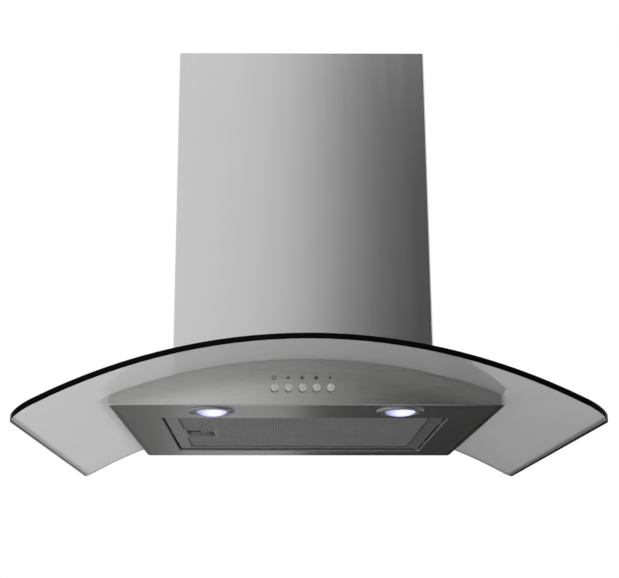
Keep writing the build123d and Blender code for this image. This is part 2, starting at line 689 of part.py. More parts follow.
def filter_layers():
    """Two expanded sheets with the grease-holding pad between them."""
    low = HOOK_Z
    high = FILTER_TOP - 2 * FILTER_SHEET
    way = latch_slot(-FILTER_WIDTH / 2, -FILTER_WIDTH / 2 + FILTER_BAND + POCKET_SIDE + CUT)
    pad = crimped_pad(low + FILTER_SHEET, high) - pocket_box(SEAT_GAP, 0) - way
    open_above = pocket_box(SEAT_GAP, 0)
    pad -= Pos(0, 0, FILTER_THICK) * open_above
    return [mesh_sheet(low) - way, mesh_sheet(high)], pad


def latch_pocket():
    """A pressed finger pocket, open below, that guides the latch and holds its spring."""
    outer = pocket_box(0)
    box = outer.bounding_box()
    inside_x = (box.min.X + FILTER_SHEET, box.max.X - FILTER_SHEET)
    inside_y = (box.min.Y + FILTER_SHEET, box.max.Y - FILTER_SHEET)
    rim = block(
        (box.min.X - POCKET_RIM, box.max.X + POCKET_RIM),
        (box.min.Y - POCKET_RIM, box.max.Y + POCKET_RIM),
        (FILTER_RECESS, HOOK_Z),
    )
    rim = fillet(rim.edges().filter_by(Axis.Z), POCKET_RIM)
    pocket = outer + rim - block(inside_x, inside_y, (0, box.max.Z - FILTER_SHEET))
    return pocket - latch_slot(box.min.X - CUT, box.min.X + FILTER_SHEET + CUT)


def filter_latch():
    """A sliding tongue over the opening's rim, with a round stud and a pull lip for a finger."""
    pocket = pocket_box(0).bounding_box()
    low = HOOK_Z + SCREW_FIT
    z = (low, low + LATCH_THICK)
    tip = -OPENING_WIDTH / 2 + LATCH_CLEAR - LATCH_TRAVEL
    inner = pocket.min.X + POCKET_WIDTH / 2
    latch = block((tip, inner), (OPENING_Y - LATCH_WIDTH / 2, OPENING_Y + LATCH_WIDTH / 2), z)
    pull = (OPENING_Y - POCKET_DEPTH / 4, OPENING_Y + POCKET_DEPTH / 4)
    latch += block((inner - LATCH_THICK, inner), pull, (FILTER_RECESS - PULL_PROUD, z[1]))
    stud_x = pocket.min.X + FILTER_SHEET + SEAT_GAP + STUD_RADIUS
    latch += rod_z(STUD_RADIUS, stud_x, OPENING_Y, (FILTER_RECESS - STUD_PROUD, z[1]))
    at_tip = [e for e in latch.edges().filter_by(Axis.Y) if abs(e.center().X - tip) < LATCH_CLEAR]
    return chamfer(ShapeList(at_tip).sort_by(Axis.Z)[-1], LATCH_THICK / 2)


def latch_spring():
    pocket = pocket_box(0).bounding_box()
    start = pocket.min.X + POCKET_WIDTH / 2 + SPRING_SEAT
    length = pocket.max.X - FILTER_SHEET - SPRING_SEAT - start
    coil = coil_spring(LATCH_COIL_RADIUS, LATCH_WIRE, length, LATCH_COILS)
    middle = HOOK_Z + LATCH_COIL_RADIUS + LATCH_WIRE
    return Pos(start, OPENING_Y, middle) * Rot(0, 90, 0) * coil


# ---- lamps ----


def lamp_trim():
    """Trim ring below the panel, sleeve through it and two clips on top of it."""
    lens = LAMP_LENS_RADIUS + STRAP_GAP
    inside = LAMP_LENS_RADIUS - CUT
    trim = ring_profile(
        [
            (inside, -LAMP_TRIM_DROP / 2),
            (lens + 2 * LAMP_WALL, -LAMP_TRIM_DROP),
            (LAMP_TRIM_RADIUS - LAMP_TRIM_EDGE, -LAMP_TRIM_DROP + LAMP_TRIM_EDGE),
            (LAMP_TRIM_RADIUS, -LAMP_TRIM_EDGE),
            (LAMP_TRIM_RADIUS, 0),
            (SLEEVE_RADIUS, 0),
            (SLEEVE_RADIUS, LAMP_SLEEVE),
            (SLEEVE_RADIUS - LAMP_WALL, LAMP_SLEEVE),
            (SLEEVE_RADIUS - LAMP_WALL, SHEET),
            (lens, SHEET),
            (lens, -LAMP_LENS_DROP),
            (inside, -LAMP_LENS_DROP),
        ]
    )
    low = SHEET + SEAT_GAP
    reach = (SLEEVE_RADIUS - LAMP_WALL, SLEEVE_RADIUS + CLIP_REACH)
    clip = block(reach, (-CLIP_HALF, CLIP_HALF), (low, low + CLIP_THICK))
    clip -= rod_z(SLEEVE_RADIUS - LAMP_WALL, 0, 0, (-CUT, LAMP_HEIGHT))
    return trim + clip + Rot(0, 0, 180) * clip


def lamp_lens():
    """A frosted lens, domed below in two slight steps."""
    lens = rod_z(LAMP_LENS_RADIUS, 0, 0, (-LAMP_LENS_DROP, LENS_TOP))
    level = -LAMP_LENS_DROP
    for wide, narrow, height in LENS_STEPS:
        lens += Pos(0, 0, level - height / 2) * Cone(narrow, wide, height)
        level -= height
    return lens


def lamp_body():
    """A finned can with the reflector cone in it."""
    outer = SLEEVE_RADIUS - LAMP_WALL - STRAP_GAP
    seat = LED_BOARD_RADIUS + LAMP_WALL
    can = ring_profile(
        [
            (LAMP_LENS_RADIUS - CUT, LENS_TOP),
            (outer, LENS_TOP),
            (outer, LAMP_HEIGHT),
            (0, LAMP_HEIGHT),
            (0, LED_TOP),
            (seat, LED_TOP),
        ]
    )
    for index in range(FIN_GROOVES):
        top = LAMP_HEIGHT - FIN_DEPTH - FIN_GAP - index * FIN_PITCH
        groove = rod_z(outer + CUT, 0, 0, (top - FIN_GAP, top))
        can -= groove - rod_z(outer - FIN_DEPTH, 0, 0, (0, LAMP_HEIGHT))
    return can


def lamp_led():
    """The light board with its raised emitter, up in the reflector."""
    low = LED_TOP - LED_BOARD_THICK
    emitter = Pos(0, 0, low - EMITTER_HEIGHT / 2) * Cone(EMITTER_RADIUS / 2, EMITTER_RADIUS, EMITTER_HEIGHT)
    return rod_z(LED_BOARD_RADIUS, 0, 0, (low, LED_TOP)) + emitter


# ---- buttons ----


def button_places():
    middle = (BUTTON_COUNT - 1) / 2
    return [BUTTON_ROW_X + (index - middle) * BUTTON_PITCH for index in range(BUTTON_COUNT)]


def button(x):
    """A cap with a dished face, a flange behind the panel and a stem into the switch block."""
    face = FRONT - BUTTON_PROUD
    flange = PANEL_BACK + SEAT_GAP
    cap = rod_y(BUTTON_RADIUS, x, BUTTON_Z, (face, flange))
    cap = chamfer(cap.edges().sort_by(Axis.Y)[0], BUTTON_EDGE)
    rim = BUTTON_RADIUS - 2 * BUTTON_EDGE
    hollow = Cone(rim, rim / 2, BUTTON_DISH)
    cap -= Pos(x, face + BUTTON_DISH / 2, BUTTON_Z) * Rot(-90, 0, 0) * hollow
    cap += rod_y(BUTTON_RADIUS + BUTTON_FLANGE_OUT, x, BUTTON_Z, (flange, flange + BUTTON_FLANGE))
    return cap + rod_y(BUTTON_STEM, x, BUTTON_Z, (flange + BUTTON_FLANGE, SWITCH_FRONT + STEM_INSIDE))


def button_spring(x):
    coil = coil_spring(BUTTON_COIL_RADIUS, BUTTON_WIRE, SPRING_ROOM - 2 * SPRING_SEAT, BUTTON_COILS)
    return Pos(x, SWITCH_FRONT - SPRING_SEAT, BUTTON_Z) * Rot(90, 0, 0) * coil


def switch_block():
    """One moulding with a bore for each plunger and two posts that reach the front panel."""
    half = BUTTON_PITCH * BUTTON_COUNT / 2 + SWITCH_SIDE
    z = (BUTTON_Z - SWITCH_HEIGHT / 2, BUTTON_Z + SWITCH_HEIGHT / 2)
    rear = SWITCH_FRONT + SWITCH_DEPTH
    body = block((BUTTON_ROW_X - half, BUTTON_ROW_X + half), (SWITCH_FRONT, rear), z)
    body = fillet(body.edges().filter_by(Axis.Y), SWITCH_CORNER)
    for x in button_places():
        body -= rod_y(BUTTON_STEM + RUN_GAP, x, BUTTON_Z, (SWITCH_FRONT - CUT, SWITCH_FRONT + SWITCH_BORE))
        body += Pos(x, rear + TAG[1] / 2, BUTTON_Z) * Box(*TAG)
    for side in (-1, 1):
        post = BUTTON_ROW_X + side * (half - SWITCH_SIDE / 2)
        body += rod_y(SWITCH_POST, post, BUTTON_Z, (PANEL_BACK, SWITCH_FRONT))
    return body


def led_driver():
    """Lamp driver on the rear strip of the underside panel."""
    middle = -(BODY_SHEET + OPENING_REAR) / 2
    y = (middle - DRIVER_DEPTH / 2, middle + DRIVER_DEPTH / 2)
    body = block((-DRIVER_HALF, DRIVER_HALF), y, (SHEET, SHEET + DRIVER_HEIGHT))
    body = fillet(body.edges().filter_by(Axis.Z), DRIVER_CORNER)
    feet = (-DRIVER_HALF - DRIVER_FOOT, DRIVER_HALF + DRIVER_FOOT)
    foot = DRIVER_FOOT / 2
    body += block(feet, (middle - foot, middle + foot), (SHEET, SHEET + DRIVER_FOOT_THICK))
    return Pos(DRIVER_X, 0, 0) * body


# ---- chassis ----


def chassis():
    """Rear plate with wall ears, two sides and the top plate, folded in one."""
    t = BODY_SHEET
    half = CHASSIS_HALF
    turn = CHASSIS_FLANGE
    box = block((-half, half), (CHASSIS_FRONT, 0), (0, CHASSIS_TOP))
    box -= block((-half + t, half - t), (CHASSIS_FRONT - CUT, -t), (-CUT, PLATE_UNDER))
    lip = (CHASSIS_FRONT, CHASSIS_FRONT + t)
    for side in (-1, 1):
        box += block((side * (half - turn), side * half), lip, (0, CHASSIS_TOP))
    box += block((-half, half), lip, (CHASSIS_TOP - turn, CHASSIS_TOP))
    ears = block((-EAR_HALF, EAR_HALF), (-t, 0), (0, CHASSIS_TOP))
    box += fillet(ears.edges().filter_by(Axis.Y).sort_by(Axis.Z)[-2:], EAR_ROUND)
    box -= under_arch(DECK_RADIUS)
    box += arch_sheet(DECK_RADIUS, DECK_RADIUS + t, chassis_foot_plan())
    rear_plate = block((-FAR, FAR), (-t - SEAT_GAP / 2, CUT), (0, FAR))
    box -= under_arch(GLASS_RADIUS) & rear_plate
    box -= rod_z(COLLAR_INSIDE - CUT, 0, OUTLET_Y, (PLATE_UNDER - CUT, CHASSIS_TOP + CUT))
    for x in (-WALL_HOLE_X, WALL_HOLE_X):
        for z in WALL_HOLE_HEIGHTS:
            box -= rod_y(WALL_HOLE_RADIUS, x, z, (-t - CUT, CUT))
    for place in chassis_screw_places():
        box -= screw_hole(place, M4, M4_HEAD)
    return box


def chassis_foot_plan():
    """Where the chassis turns in on the deck, seen from above."""
    inner = CHASSIS_HALF - CHASSIS_FLANGE
    rear = -BODY_SHEET - SEAT_GAP
    plan = block((-CHASSIS_HALF, CHASSIS_HALF), (CHASSIS_FRONT, rear), (0, FAR))
    hole = (CHASSIS_FRONT + CHASSIS_FLANGE, -CHASSIS_FLANGE - DECK_REVEAL)
    return plan - block((-inner, inner), hole, (-CUT, FAR + CUT))


def chassis_front_cover():
    """A ribbed cover over the chassis' open front."""
    y = (CHASSIS_FRONT - SHEET, CHASSIS_FRONT)
    cover = block((-CHASSIS_HALF, CHASSIS_HALF), y, (0, CHASSIS_TOP))
    cover = fillet(cover.edges().filter_by(Axis.Y).sort_by(Axis.Z)[-2:], COVER_ROUND)
    cover -= under_arch(DECK_RADIUS + SEAT_GAP)
    for rib in range(RIB_COUNT):
        z = RIB_LOW + rib * RIB_PITCH
        cover += block((-RIB_HALF, RIB_HALF), (y[0] - RIB_PROUD, y[0]), (z, z + RIB_HEIGHT))
    for place in cover_screw_places():
        cover -= screw_hole(place, M4, M4_HEAD)
    return cover


# ---- places of the M4 screws: local Z points from the thread to the head ----


def deck_screw_places(radius):
    x = CHASSIS_HALF - CHASSIS_FLANGE / 2
    rows = (-DECK_SCREW_REAR, -DECK_SCREW_REAR - DECK_SCREW_PITCH)
    return [on_arch(side * x, y, radius) for side in (-1, 1) for y in rows]


def cover_screw_places():
    x = CHASSIS_HALF - CHASSIS_FLANGE / 2
    top = CHASSIS_TOP - COVER_SCREW_DROP
    rows = (top, top - COVER_SCREW_PITCH)
    return [Pos(side * x, CHASSIS_FRONT - SHEET, z) * Rot(90, 0, 0) for side in (-1, 1) for z in rows]


def collar_screw_places():
    """Through the collar's flange and the top plate into the scroll's outlet flange."""
    ring = (COLLAR_RADIUS + COLLAR_FLANGE) / 2
    middle = Pos(0, OUTLET_Y, CHASSIS_TOP + COLLAR_SHEET)
    return [middle * Rot(0, 0, 45 + 90 * n) * Pos(ring, 0, 0) for n in range(4)]


def strap_screw_places():
    x = CHASSIS_HALF - BODY_SHEET - STRAP_SHEET
    return [Pos(x, CAPACITOR_Y + side * STRAP_SCREW, CAPACITOR_Z) * Rot(0, -90, 0) for side in (-1, 1)]


def lid_screw_places():
    inset = TERMINAL_POST + SCREW_FIT + TERMINAL_WALL
    places = ((TERMINAL_X[0] + inset, TERMINAL_Y[1] - inset), (TERMINAL_X[1] - inset, TERMINAL_Y[0] + inset))
    return [Pos(x, y, TERMINAL_TOP + TERMINAL_WALL) for x, y in places]


def chassis_screw_places():
    places = deck_screw_places(DECK_RADIUS) + cover_screw_places()
    return places + collar_screw_places() + strap_screw_places()


def pan_head_screws():
    """Every M4 screw of the fixed structure."""
    places = deck_screw_places(DECK_RADIUS + BODY_SHEET) + cover_screw_places()
    places += collar_screw_places() + strap_screw_places() + lid_screw_places()
    return [place * pan_screw(M4, M4_HEAD, M4_LENGTH) for place in places]


# ---- blower ----


def volute(offset, top):
    """The scroll's side view, grown by offset: three quarter arcs and the outlet, in the YZ plane."""
    first = (FAN_Y, FAN_Z)
    second = (first[0] - SCROLL_GROWTH, first[1])
    third = (second[0], second[1] + SCROLL_GROWTH)
    radii = [SCROLL_RADIUS + offset + step * SCROLL_GROWTH for step in range(3)]

    def on(centre, radius, angle):
        return Vector(0, centre[0] + radius * cos(radians(angle)), centre[1] + radius * sin(radians(angle)))

    wall = OUTLET_REAR + offset
    tongue = Vector(0, wall, FAN_Z + sqrt(radii[0] ** 2 - (wall - FAN_Y) ** 2))
    front_top = Vector(0, third[0] - radii[2], top)
    rear_top = Vector(0, wall, top)
    edges = [
        Line(rear_top, tongue),
        ThreePointArc(tongue, on(first, radii[0], 45), on(first, radii[0], 0)),
        ThreePointArc(on(second, radii[1], 0), on(second, radii[1], -45), on(second, radii[1], -90)),
        ThreePointArc(on(third, radii[2], -90), on(third, radii[2], -135), on(third, radii[2], 180)),
        Line(on(third, radii[2], 180), front_top),
        Line(front_top, rear_top),
    ]
    return Face(Wire(edges))


def along_x(face, x):
    return Pos(x[0], 0, 0) * Solid.extrude(face, Vector(x[1] - x[0], 0, 0))


def scroll_half(side):
    """One half of the blower housing: a volute shell with a flared inlet, split at the middle."""
    w = SCROLL_WALL

    def span(*ends):
        return sorted(side * end for end in ends)

    half = along_x(volute(w, PLATE_UNDER), span(0, SCROLL_HALF))
    half += along_x(volute(w + SCROLL_RIM, PLATE_UNDER - SCROLL_NECK), span(0, w))
    land = (SCROLL_FRONT - w - OUTLET_LAND, OUTLET_REAR + w + OUTLET_LAND)
    half += block(span(0, SCROLL_HALF + OUTLET_SIDE), land, (PLATE_UNDER - OUTLET_SHEET, PLATE_UNDER))
    half -= along_x(volute(0, PLATE_UNDER + CUT), span(0, SCROLL_HALF - w))
    reach = INLET_RADIUS + INLET_FLARE
    half -= rod_x(reach, FAN_Y, FAN_Z, span(SCROLL_HALF - w - PIN_FIT, SCROLL_HALF + CUT))
    centre = Vector(side * (SCROLL_HALF - INLET_FLARE), FAN_Y + reach, FAN_Z)

    def at(radius, angle):
        a = radians(angle)
        return centre + Vector(side * radius * sin(a), -radius * cos(a), 0)

    angles = [90 * n / FLARE_CHORDS for n in range(FLARE_CHORDS + 1)]
    ring = [at(INLET_FLARE, angle) for angle in angles]
    ring += [at(INLET_FLARE - w, angle) for angle in reversed(angles)]
    flare = Wire(Polyline(*ring, close=True).edges())
    half += revolve(Face(flare), Axis((0, FAN_Y, FAN_Z), (1, 0, 0)), 360)
    for place in collar_screw_places():
        half -= screw_hole(place, M4, M4_LENGTH)
    return half


def blade():
    """One forward-curved blade, as a bent strip between the drum's two ends."""
    root = FAN_RADIUS - BLADE_DEPTH
    tip = FAN_RADIUS - BLADE_INSIDE
    half = degrees(BLADE_SHEET / (root + tip))
    bend = 2 - 4 * BLADE_BOW

    def polar(radius, angle):
        return Vector(0, radius * cos(radians(angle)), radius * sin(radians(angle)))

    def face_line(edge):
        steps = [n / BLADE_CHORDS for n in range(BLADE_CHORDS + 1)]
        leads = [t * (1 - bend * (1 - t)) * BLADE_LEAD for t in steps]
        return [polar(root + (tip - root) * t, edge - lead) for t, lead in zip(steps, leads)]

    outline = Polyline(*face_line(half), *reversed(face_line(-half)), close=True)
    return along_x(Face(Wire(outline.edges())), (-FAN_HALF, FAN_HALF))


def impeller():
    """A double-inlet drum of forward-curved blades on a middle disc, with two end rings."""
    one = blade()
    hub = rod_x(HUB_RADIUS, 0, 0, (-HUB_HALF, HUB_HALF))
    disc = rod_x(FAN_RADIUS - BLADE_INSIDE, 0, 0, (-FAN_DISC_HALF, FAN_DISC_HALF))
    rings = rod_x(FAN_RADIUS, 0, 0, (-FAN_HALF, FAN_HALF)) - rod_x(FAN_RADIUS - FAN_RING, 0, 0, (-FAR, FAR))
    between = FAN_HALF - FAN_RING_WIDTH
    rings -= rod_x(2 * FAN_RADIUS, 0, 0, (-between, between))
    wheel = disc + hub + rings + [Rot(360 / FAN_BLADES * n, 0, 0) * one for n in range(FAN_BLADES)]
    wheel -= rod_x(SHAFT_RADIUS + PIN_FIT, 0, 0, (-FAN_HALF, FAN_HALF))
    return Pos(0, FAN_Y, FAN_Z) * wheel


def motor_shaft():
    shaft = rod_x(SHAFT_RADIUS, FAN_Y, FAN_Z, (MOTOR_FRONT - SHAFT_IN, HUB_HALF + SHAFT_OUT))
    return chamfer(shaft.edges().sort_by(Axis.X)[-1], SHAFT_EDGE)


def motor():
    """The motor can with its clamp band, front boss and three studs."""
    front = MOTOR_FRONT - MOTOR_BOSS
    can = rod_x(MOTOR_RADIUS, FAN_Y, FAN_Z, (MOTOR_REAR, front))
    can = chamfer(can.edges().filter_by(GeomType.CIRCLE), MOTOR_EDGE)
    can += rod_x(MOTOR_BOSS_RADIUS, FAN_Y, FAN_Z, (front - CUT, MOTOR_FRONT))
    can -= rod_x(SHAFT_RADIUS + RUN_GAP, FAN_Y, FAN_Z, (MOTOR_FRONT - MOTOR_BORE, 0))
    middle = (MOTOR_REAR + front) / 2
    band = (middle - MOTOR_BAND / 2, middle + MOTOR_BAND / 2)
    can += rod_x(MOTOR_RADIUS + MOTOR_BAND_PROUD, FAN_Y, FAN_Z, band)
    can -= rod_x(SHAFT_RADIUS + RUN_GAP, FAN_Y, FAN_Z, (MOTOR_FRONT - MOTOR_BORE, 0))
    for place in motor_stud_places():
        can += place * Pos(0, 0, (MOTOR_STUD_OUT - CUT) / 2) * Cylinder(MOTOR_STUD, MOTOR_STUD_OUT + CUT)
    return can


def motor_stud_places():
    """Round the motor's rear, with local Z pointing away from the fan."""
    base = Pos(MOTOR_REAR, FAN_Y, FAN_Z) * Rot(0, -90, 0)
    return [base * Rot(0, 0, 30 + 120 * n) * Pos(MOTOR_STUD_RING, 0, 0) for n in range(3)]


def motor_bracket():
    """A three-legged spider behind the motor, whose feet stand on the left scroll half."""
    t = SPIDER_SHEET
    rear = MOTOR_REAR - GROMMET_FLANGE - t
    bracket = rod_x(SPIDER_RADIUS, FAN_Y, FAN_Z, (rear, rear + t))
    bracket -= rod_x(SPIDER_HOLE, FAN_Y, FAN_Z, (-FAR, FAR))
    leg_in = INLET_RADIUS + INLET_FLARE + SPIDER_ROOM
    wide = (-SPIDER_ARM_HALF, SPIDER_ARM_HALF)
    foot = -SCROLL_HALF - rear
    legs = block((SPIDER_RADIUS - SPIDER_ARM_HALF, leg_in + t), wide, (-t, 0))
    legs += block((leg_in, leg_in + t), wide, (-foot, 0))
    legs += block((leg_in - SPIDER_FOOT, leg_in + t), wide, (-foot, -foot + t))
    for n in range(3):
        bracket += Pos(rear, FAN_Y, FAN_Z) * Rot(0, -90, 0) * Rot(0, 0, 90 + 120 * n) * legs
    for place in motor_stud_places():
        bracket -= place * Cylinder(GROMMET_NECK, 6 * GROMMET_FLANGE)
    return bracket


def motor_mounts():
    """Rubber grommets in the bracket's holes, and the nuts behind them."""
    flange = Cylinder(GROMMET_RADIUS, GROMMET_FLANGE)
    rear = GROMMET_FLANGE + SPIDER_SHEET
    middle = rear / 2 + GROMMET_FLANGE / 2
    grommet = Pos(0, 0, GROMMET_FLANGE / 2) * flange + Pos(0, 0, rear + GROMMET_FLANGE / 2) * flange
    grommet += Pos(0, 0, middle) * Cylinder(GROMMET_NECK - SCREW_FIT, SPIDER_SHEET)
    grommet -= Cylinder(MOTOR_STUD + SCREW_FIT, FAR)
    nut = Pos(0, 0, rear + GROMMET_FLANGE) * hex_nut(MOTOR_NUT_RADIUS, MOTOR_NUT_THICK, MOTOR_STUD)
    places = motor_stud_places()
    return [place * grommet for place in places], [place * nut for place in places]


def capacitor():
    """The run capacitor: a can with two blade terminals."""
    z = (CAPACITOR_Z - CAPACITOR_HALF, CAPACITOR_Z + CAPACITOR_HALF)
    can = rod_z(CAPACITOR_RADIUS, CAPACITOR_X, CAPACITOR_Y, z)
    can = chamfer(can.edges().group_by(Axis.Z)[-1], CAPACITOR_EDGE)
    top = CAPACITOR_Z + CAPACITOR_HALF - CUT
    tag = CAPACITOR_RADIUS / 5
    for y in (CAPACITOR_Y - 2 * tag, CAPACITOR_Y + 2 * tag):
        x = (CAPACITOR_X - STRAP_SHEET / 2, CAPACITOR_X + STRAP_SHEET / 2)
        can += block(x, (y - tag, y + tag), (top, top + CAPACITOR_TAG))
    return can


def capacitor_strap():
    """A band round the capacitor with two feet on the chassis wall."""
    inner = CAPACITOR_RADIUS + STRAP_GAP
    outer = inner + STRAP_SHEET
    z = (CAPACITOR_Z - STRAP_HALF, CAPACITOR_Z + STRAP_HALF)
    wall = CHASSIS_HALF - BODY_SHEET
    foot = wall - STRAP_SHEET
    band = rod_z(outer, CAPACITOR_X, CAPACITOR_Y, z)
    band += block((foot, wall), (CAPACITOR_Y - STRAP_REACH, CAPACITOR_Y + STRAP_REACH), z)
    band += block((CAPACITOR_X, wall), (CAPACITOR_Y - outer, CAPACITOR_Y + outer), z)
    band -= rod_z(inner, CAPACITOR_X, CAPACITOR_Y, (0, FAR))
    band -= block((CAPACITOR_X, foot), (CAPACITOR_Y - inner, CAPACITOR_Y + inner), (0, FAR))
    for place in strap_screw_places():
        band -= screw_hole(place, M4, M4_HEAD)
    return band


# ---- mains terminal box ----


def terminal_box():
    """An open box with two screw posts."""
    t = TERMINAL_WALL
    box = block(TERMINAL_X, TERMINAL_Y, (CHASSIS_TOP, TERMINAL_TOP))
    box = fillet(box.edges().filter_by(Axis.Z), TERMINAL_CORNER)
    inside_x = (TERMINAL_X[0] + t, TERMINAL_X[1] - t)
    inside_y = (TERMINAL_Y[0] + t, TERMINAL_Y[1] - t)
    box -= block(inside_x, inside_y, (CHASSIS_TOP + t, TERMINAL_TOP + CUT))
    for place in lid_screw_places():
        box += place * Pos(0, 0, -t - TERMINAL_HEIGHT / 2) * Cylinder(TERMINAL_POST, TERMINAL_HEIGHT)
        box -= screw_hole(place, M4, M4_LENGTH)
    return box


def terminal_box_lid():
    """The lid, with the gland's hole."""
    lid = block(TERMINAL_X, TERMINAL_Y, (TERMINAL_TOP, TERMINAL_TOP + TERMINAL_WALL))
    lid = fillet(lid.edges().filter_by(Axis.Z), TERMINAL_CORNER)
    for place in lid_screw_places():
        lid -= screw_hole(place, M4, M4_HEAD)
    return lid - rod_z(GLAND_RADIUS + SCREW_FIT, GLAND_X, GLAND_Y, (CHASSIS_TOP, FAR))


def terminal_block():
    """A three-pole screw terminal strip on the box's floor."""
    low = CHASSIS_TOP + TERMINAL_WALL
    top = low + POLE_HEIGHT
    half = TERMINAL_POLES * POLE_PITCH / 2
    middle = TERMINAL_X[0] + POLE_SIDE + half
    y = (GLAND_Y - POLE_DEPTH / 2, GLAND_Y + POLE_DEPTH / 2)
    strip = block((middle - half, middle + half), y, (low, top))
    for pole in range(TERMINAL_POLES):
        x = middle - half + (pole + 0.5) * POLE_PITCH
        for row in (-1, 1):
            strip -= rod_z(POLE_HOLE, x, GLAND_Y + row * POLE_DEPTH / 3, (top - POLE_HOLE_DEEP, top + CUT))
        if pole:
            slit = x - POLE_PITCH / 2
            across = (slit - POLE_SLIT / 2, slit + POLE_SLIT / 2)
            strip -= block(across, (y[0] - CUT, y[1] + CUT), (top - POLE_HOLE_DEEP, top + CUT))
    return strip


def cable_gland():
    """A gland through the lid: thread, two hexagons and dome nut, round an open upright bore."""
    low, top = GLAND_Z
    lid = TERMINAL_TOP + TERMINAL_WALL
    dome = rod_z(GLAND_DOME_RADIUS, 0, 0, (top - GLAND_DOME, top))
    dome = chamfer(dome.edges().group_by(Axis.Z)[-1], GLAND_EDGE)
    gland = rod_z(GLAND_RADIUS, 0, 0, (low, top - GLAND_EDGE)) + dome
    for base in (lid, TERMINAL_TOP - GLAND_HEX_THICK):
        gland += Pos(0, 0, base) * extrude(RegularPolygon(GLAND_HEX, 6), GLAND_HEX_THICK)
    gland -= rod_z(GLAND_BORE, 0, 0, (low - CUT, top + CUT))
    return Pos(GLAND_X, GLAND_Y, 0) * gland


# ---- outlet ----


def outlet_collar():
    """The duct spigot on the top plate, with a seat ledge for the flaps and holes for their pin."""
    collar = rod_z(COLLAR_RADIUS, 0, OUTLET_Y, (CHASSIS_TOP, COLLAR_TOP))
    collar += rod_z(COLLAR_FLANGE, 0, OUTLET_Y, (CHASSIS_TOP, CHASSIS_TOP + COLLAR_SHEET))
    collar -= rod_z(COLLAR_INSIDE, 0, OUTLET_Y, (CHASSIS_TOP - CUT, COLLAR_TOP + CUT))
    seat = FLAP_Z - FLAP_THICK / 2 - SEAT_GAP
    ledge = rod_z(COLLAR_INSIDE + COLLAR_WALL / 2, 0, OUTLET_Y, (seat - COLLAR_SHEET, seat))
    collar += ledge - rod_z(COLLAR_INSIDE - COLLAR_LEDGE, 0, OUTLET_Y, (0, FAR))
    collar -= rod_x(FLAP_PIN + PIN_FIT, OUTLET_Y, FLAP_Z, (-COLLAR_RADIUS - CUT, COLLAR_RADIUS + CUT))
    for place in collar_screw_places():
        collar -= screw_hole(place, M4, M4_HEAD)
    return collar


def check_flap(side):
    """A half disc that lifts with the air, hung from the pin by two knuckles."""
    z = (FLAP_Z - FLAP_THICK / 2, FLAP_Z + FLAP_THICK / 2)
    clear = KNUCKLE_RADIUS + KNUCKLE_CLEAR
    flap = rod_z(FLAP_RADIUS, 0, OUTLET_Y, z)
    flap &= block((-FAR, FAR), (OUTLET_Y + side * clear, OUTLET_Y + side * FAR), (0, FAR))
    first = side * (KNUCKLE_START - KNUCKLE_LENGTH / 2)
    for middle in (first, first - side * KNUCKLE_PITCH):
        x = (middle - KNUCKLE_LENGTH / 2, middle + KNUCKLE_LENGTH / 2)
        flap += rod_x(KNUCKLE_RADIUS, OUTLET_Y, FLAP_Z, x)
        flap += block(x, (OUTLET_Y, OUTLET_Y + side * (clear + CUT)), z)
    return flap - rod_x(FLAP_PIN + RUN_GAP, OUTLET_Y, FLAP_Z, (-FAR, FAR))


def flap_pin():
    half = COLLAR_RADIUS - SEAT_GAP
    return rod_x(FLAP_PIN, OUTLET_Y, FLAP_Z, (-half, half))


# ---- chimney covers ----


def cover_channel(half, front, rear, z):
    """A folded cover: front, two sides and narrow returns along the wall."""
    cover = block((-half, half), (front, rear), z)
    cover = fillet(cover.edges().filter_by(Axis.Z).sort_by(Axis.Y)[:2], CHIMNEY_CORNER)
    up = (z[0] - CUT, z[1] + CUT)
    cover -= block((-half + SHEET, half - SHEET), (front + SHEET, rear - SHEET), up)
    gap = half - CHIMNEY_RETURN
    return cover - block((-gap, gap), (rear - 2 * SHEET, rear + CUT), up)


def chimney_lower():
    """The lower cover stands on the glass, cut to its bend, and has rests for the upper one."""
    cover = cover_channel(CHIMNEY_HALF, -CHIMNEY_DEPTH, 0, (0, CHIMNEY_TOP))
    cover -= under_arch(GLASS_TOP + SEAT_GAP)
    inner = CHIMNEY_HALF - SHEET
    top = UPPER_BOTTOM - SEAT_GAP
    y = (-CHIMNEY_DEPTH / 2 - REST_WIDTH / 2, -CHIMNEY_DEPTH / 2 + REST_WIDTH / 2)
    for side in (-1, 1):
        x = (side * (inner - REST_REACH), side * (inner + SHEET / 2))
        cover += block(x, y, (top - REST_HEIGHT, top))
    return cover


def chimney_upper():
    """The telescopic cover, stored inside the lower one, with vent slots near its top."""
    cover = cover_channel(UPPER_HALF, UPPER_FRONT, UPPER_REAR, (UPPER_BOTTOM, UPPER_TOP))
    top = UPPER_TOP - VENT_DROP
    for n in range(VENT_SLOTS):
        y = -CHIMNEY_DEPTH / 2 + (n - (VENT_SLOTS - 1) / 2) * VENT_PITCH
        cover -= block((-FAR, FAR), (y - VENT_WIDTH / 2, y + VENT_WIDTH / 2), (top - VENT_HEIGHT, top))
    for place in bracket_screw_places():
        cover -= screw_hole(place, M4, M4_HEAD)
    return cover


def bracket_screw_places():
    x = UPPER_HALF - SHEET - BRACKET_SHEET
    return [Pos(side * x, BRACKET_SCREW_Y, BRACKET_Z) * Rot(0, -90 * side, 0) for side in (-1, 1)]


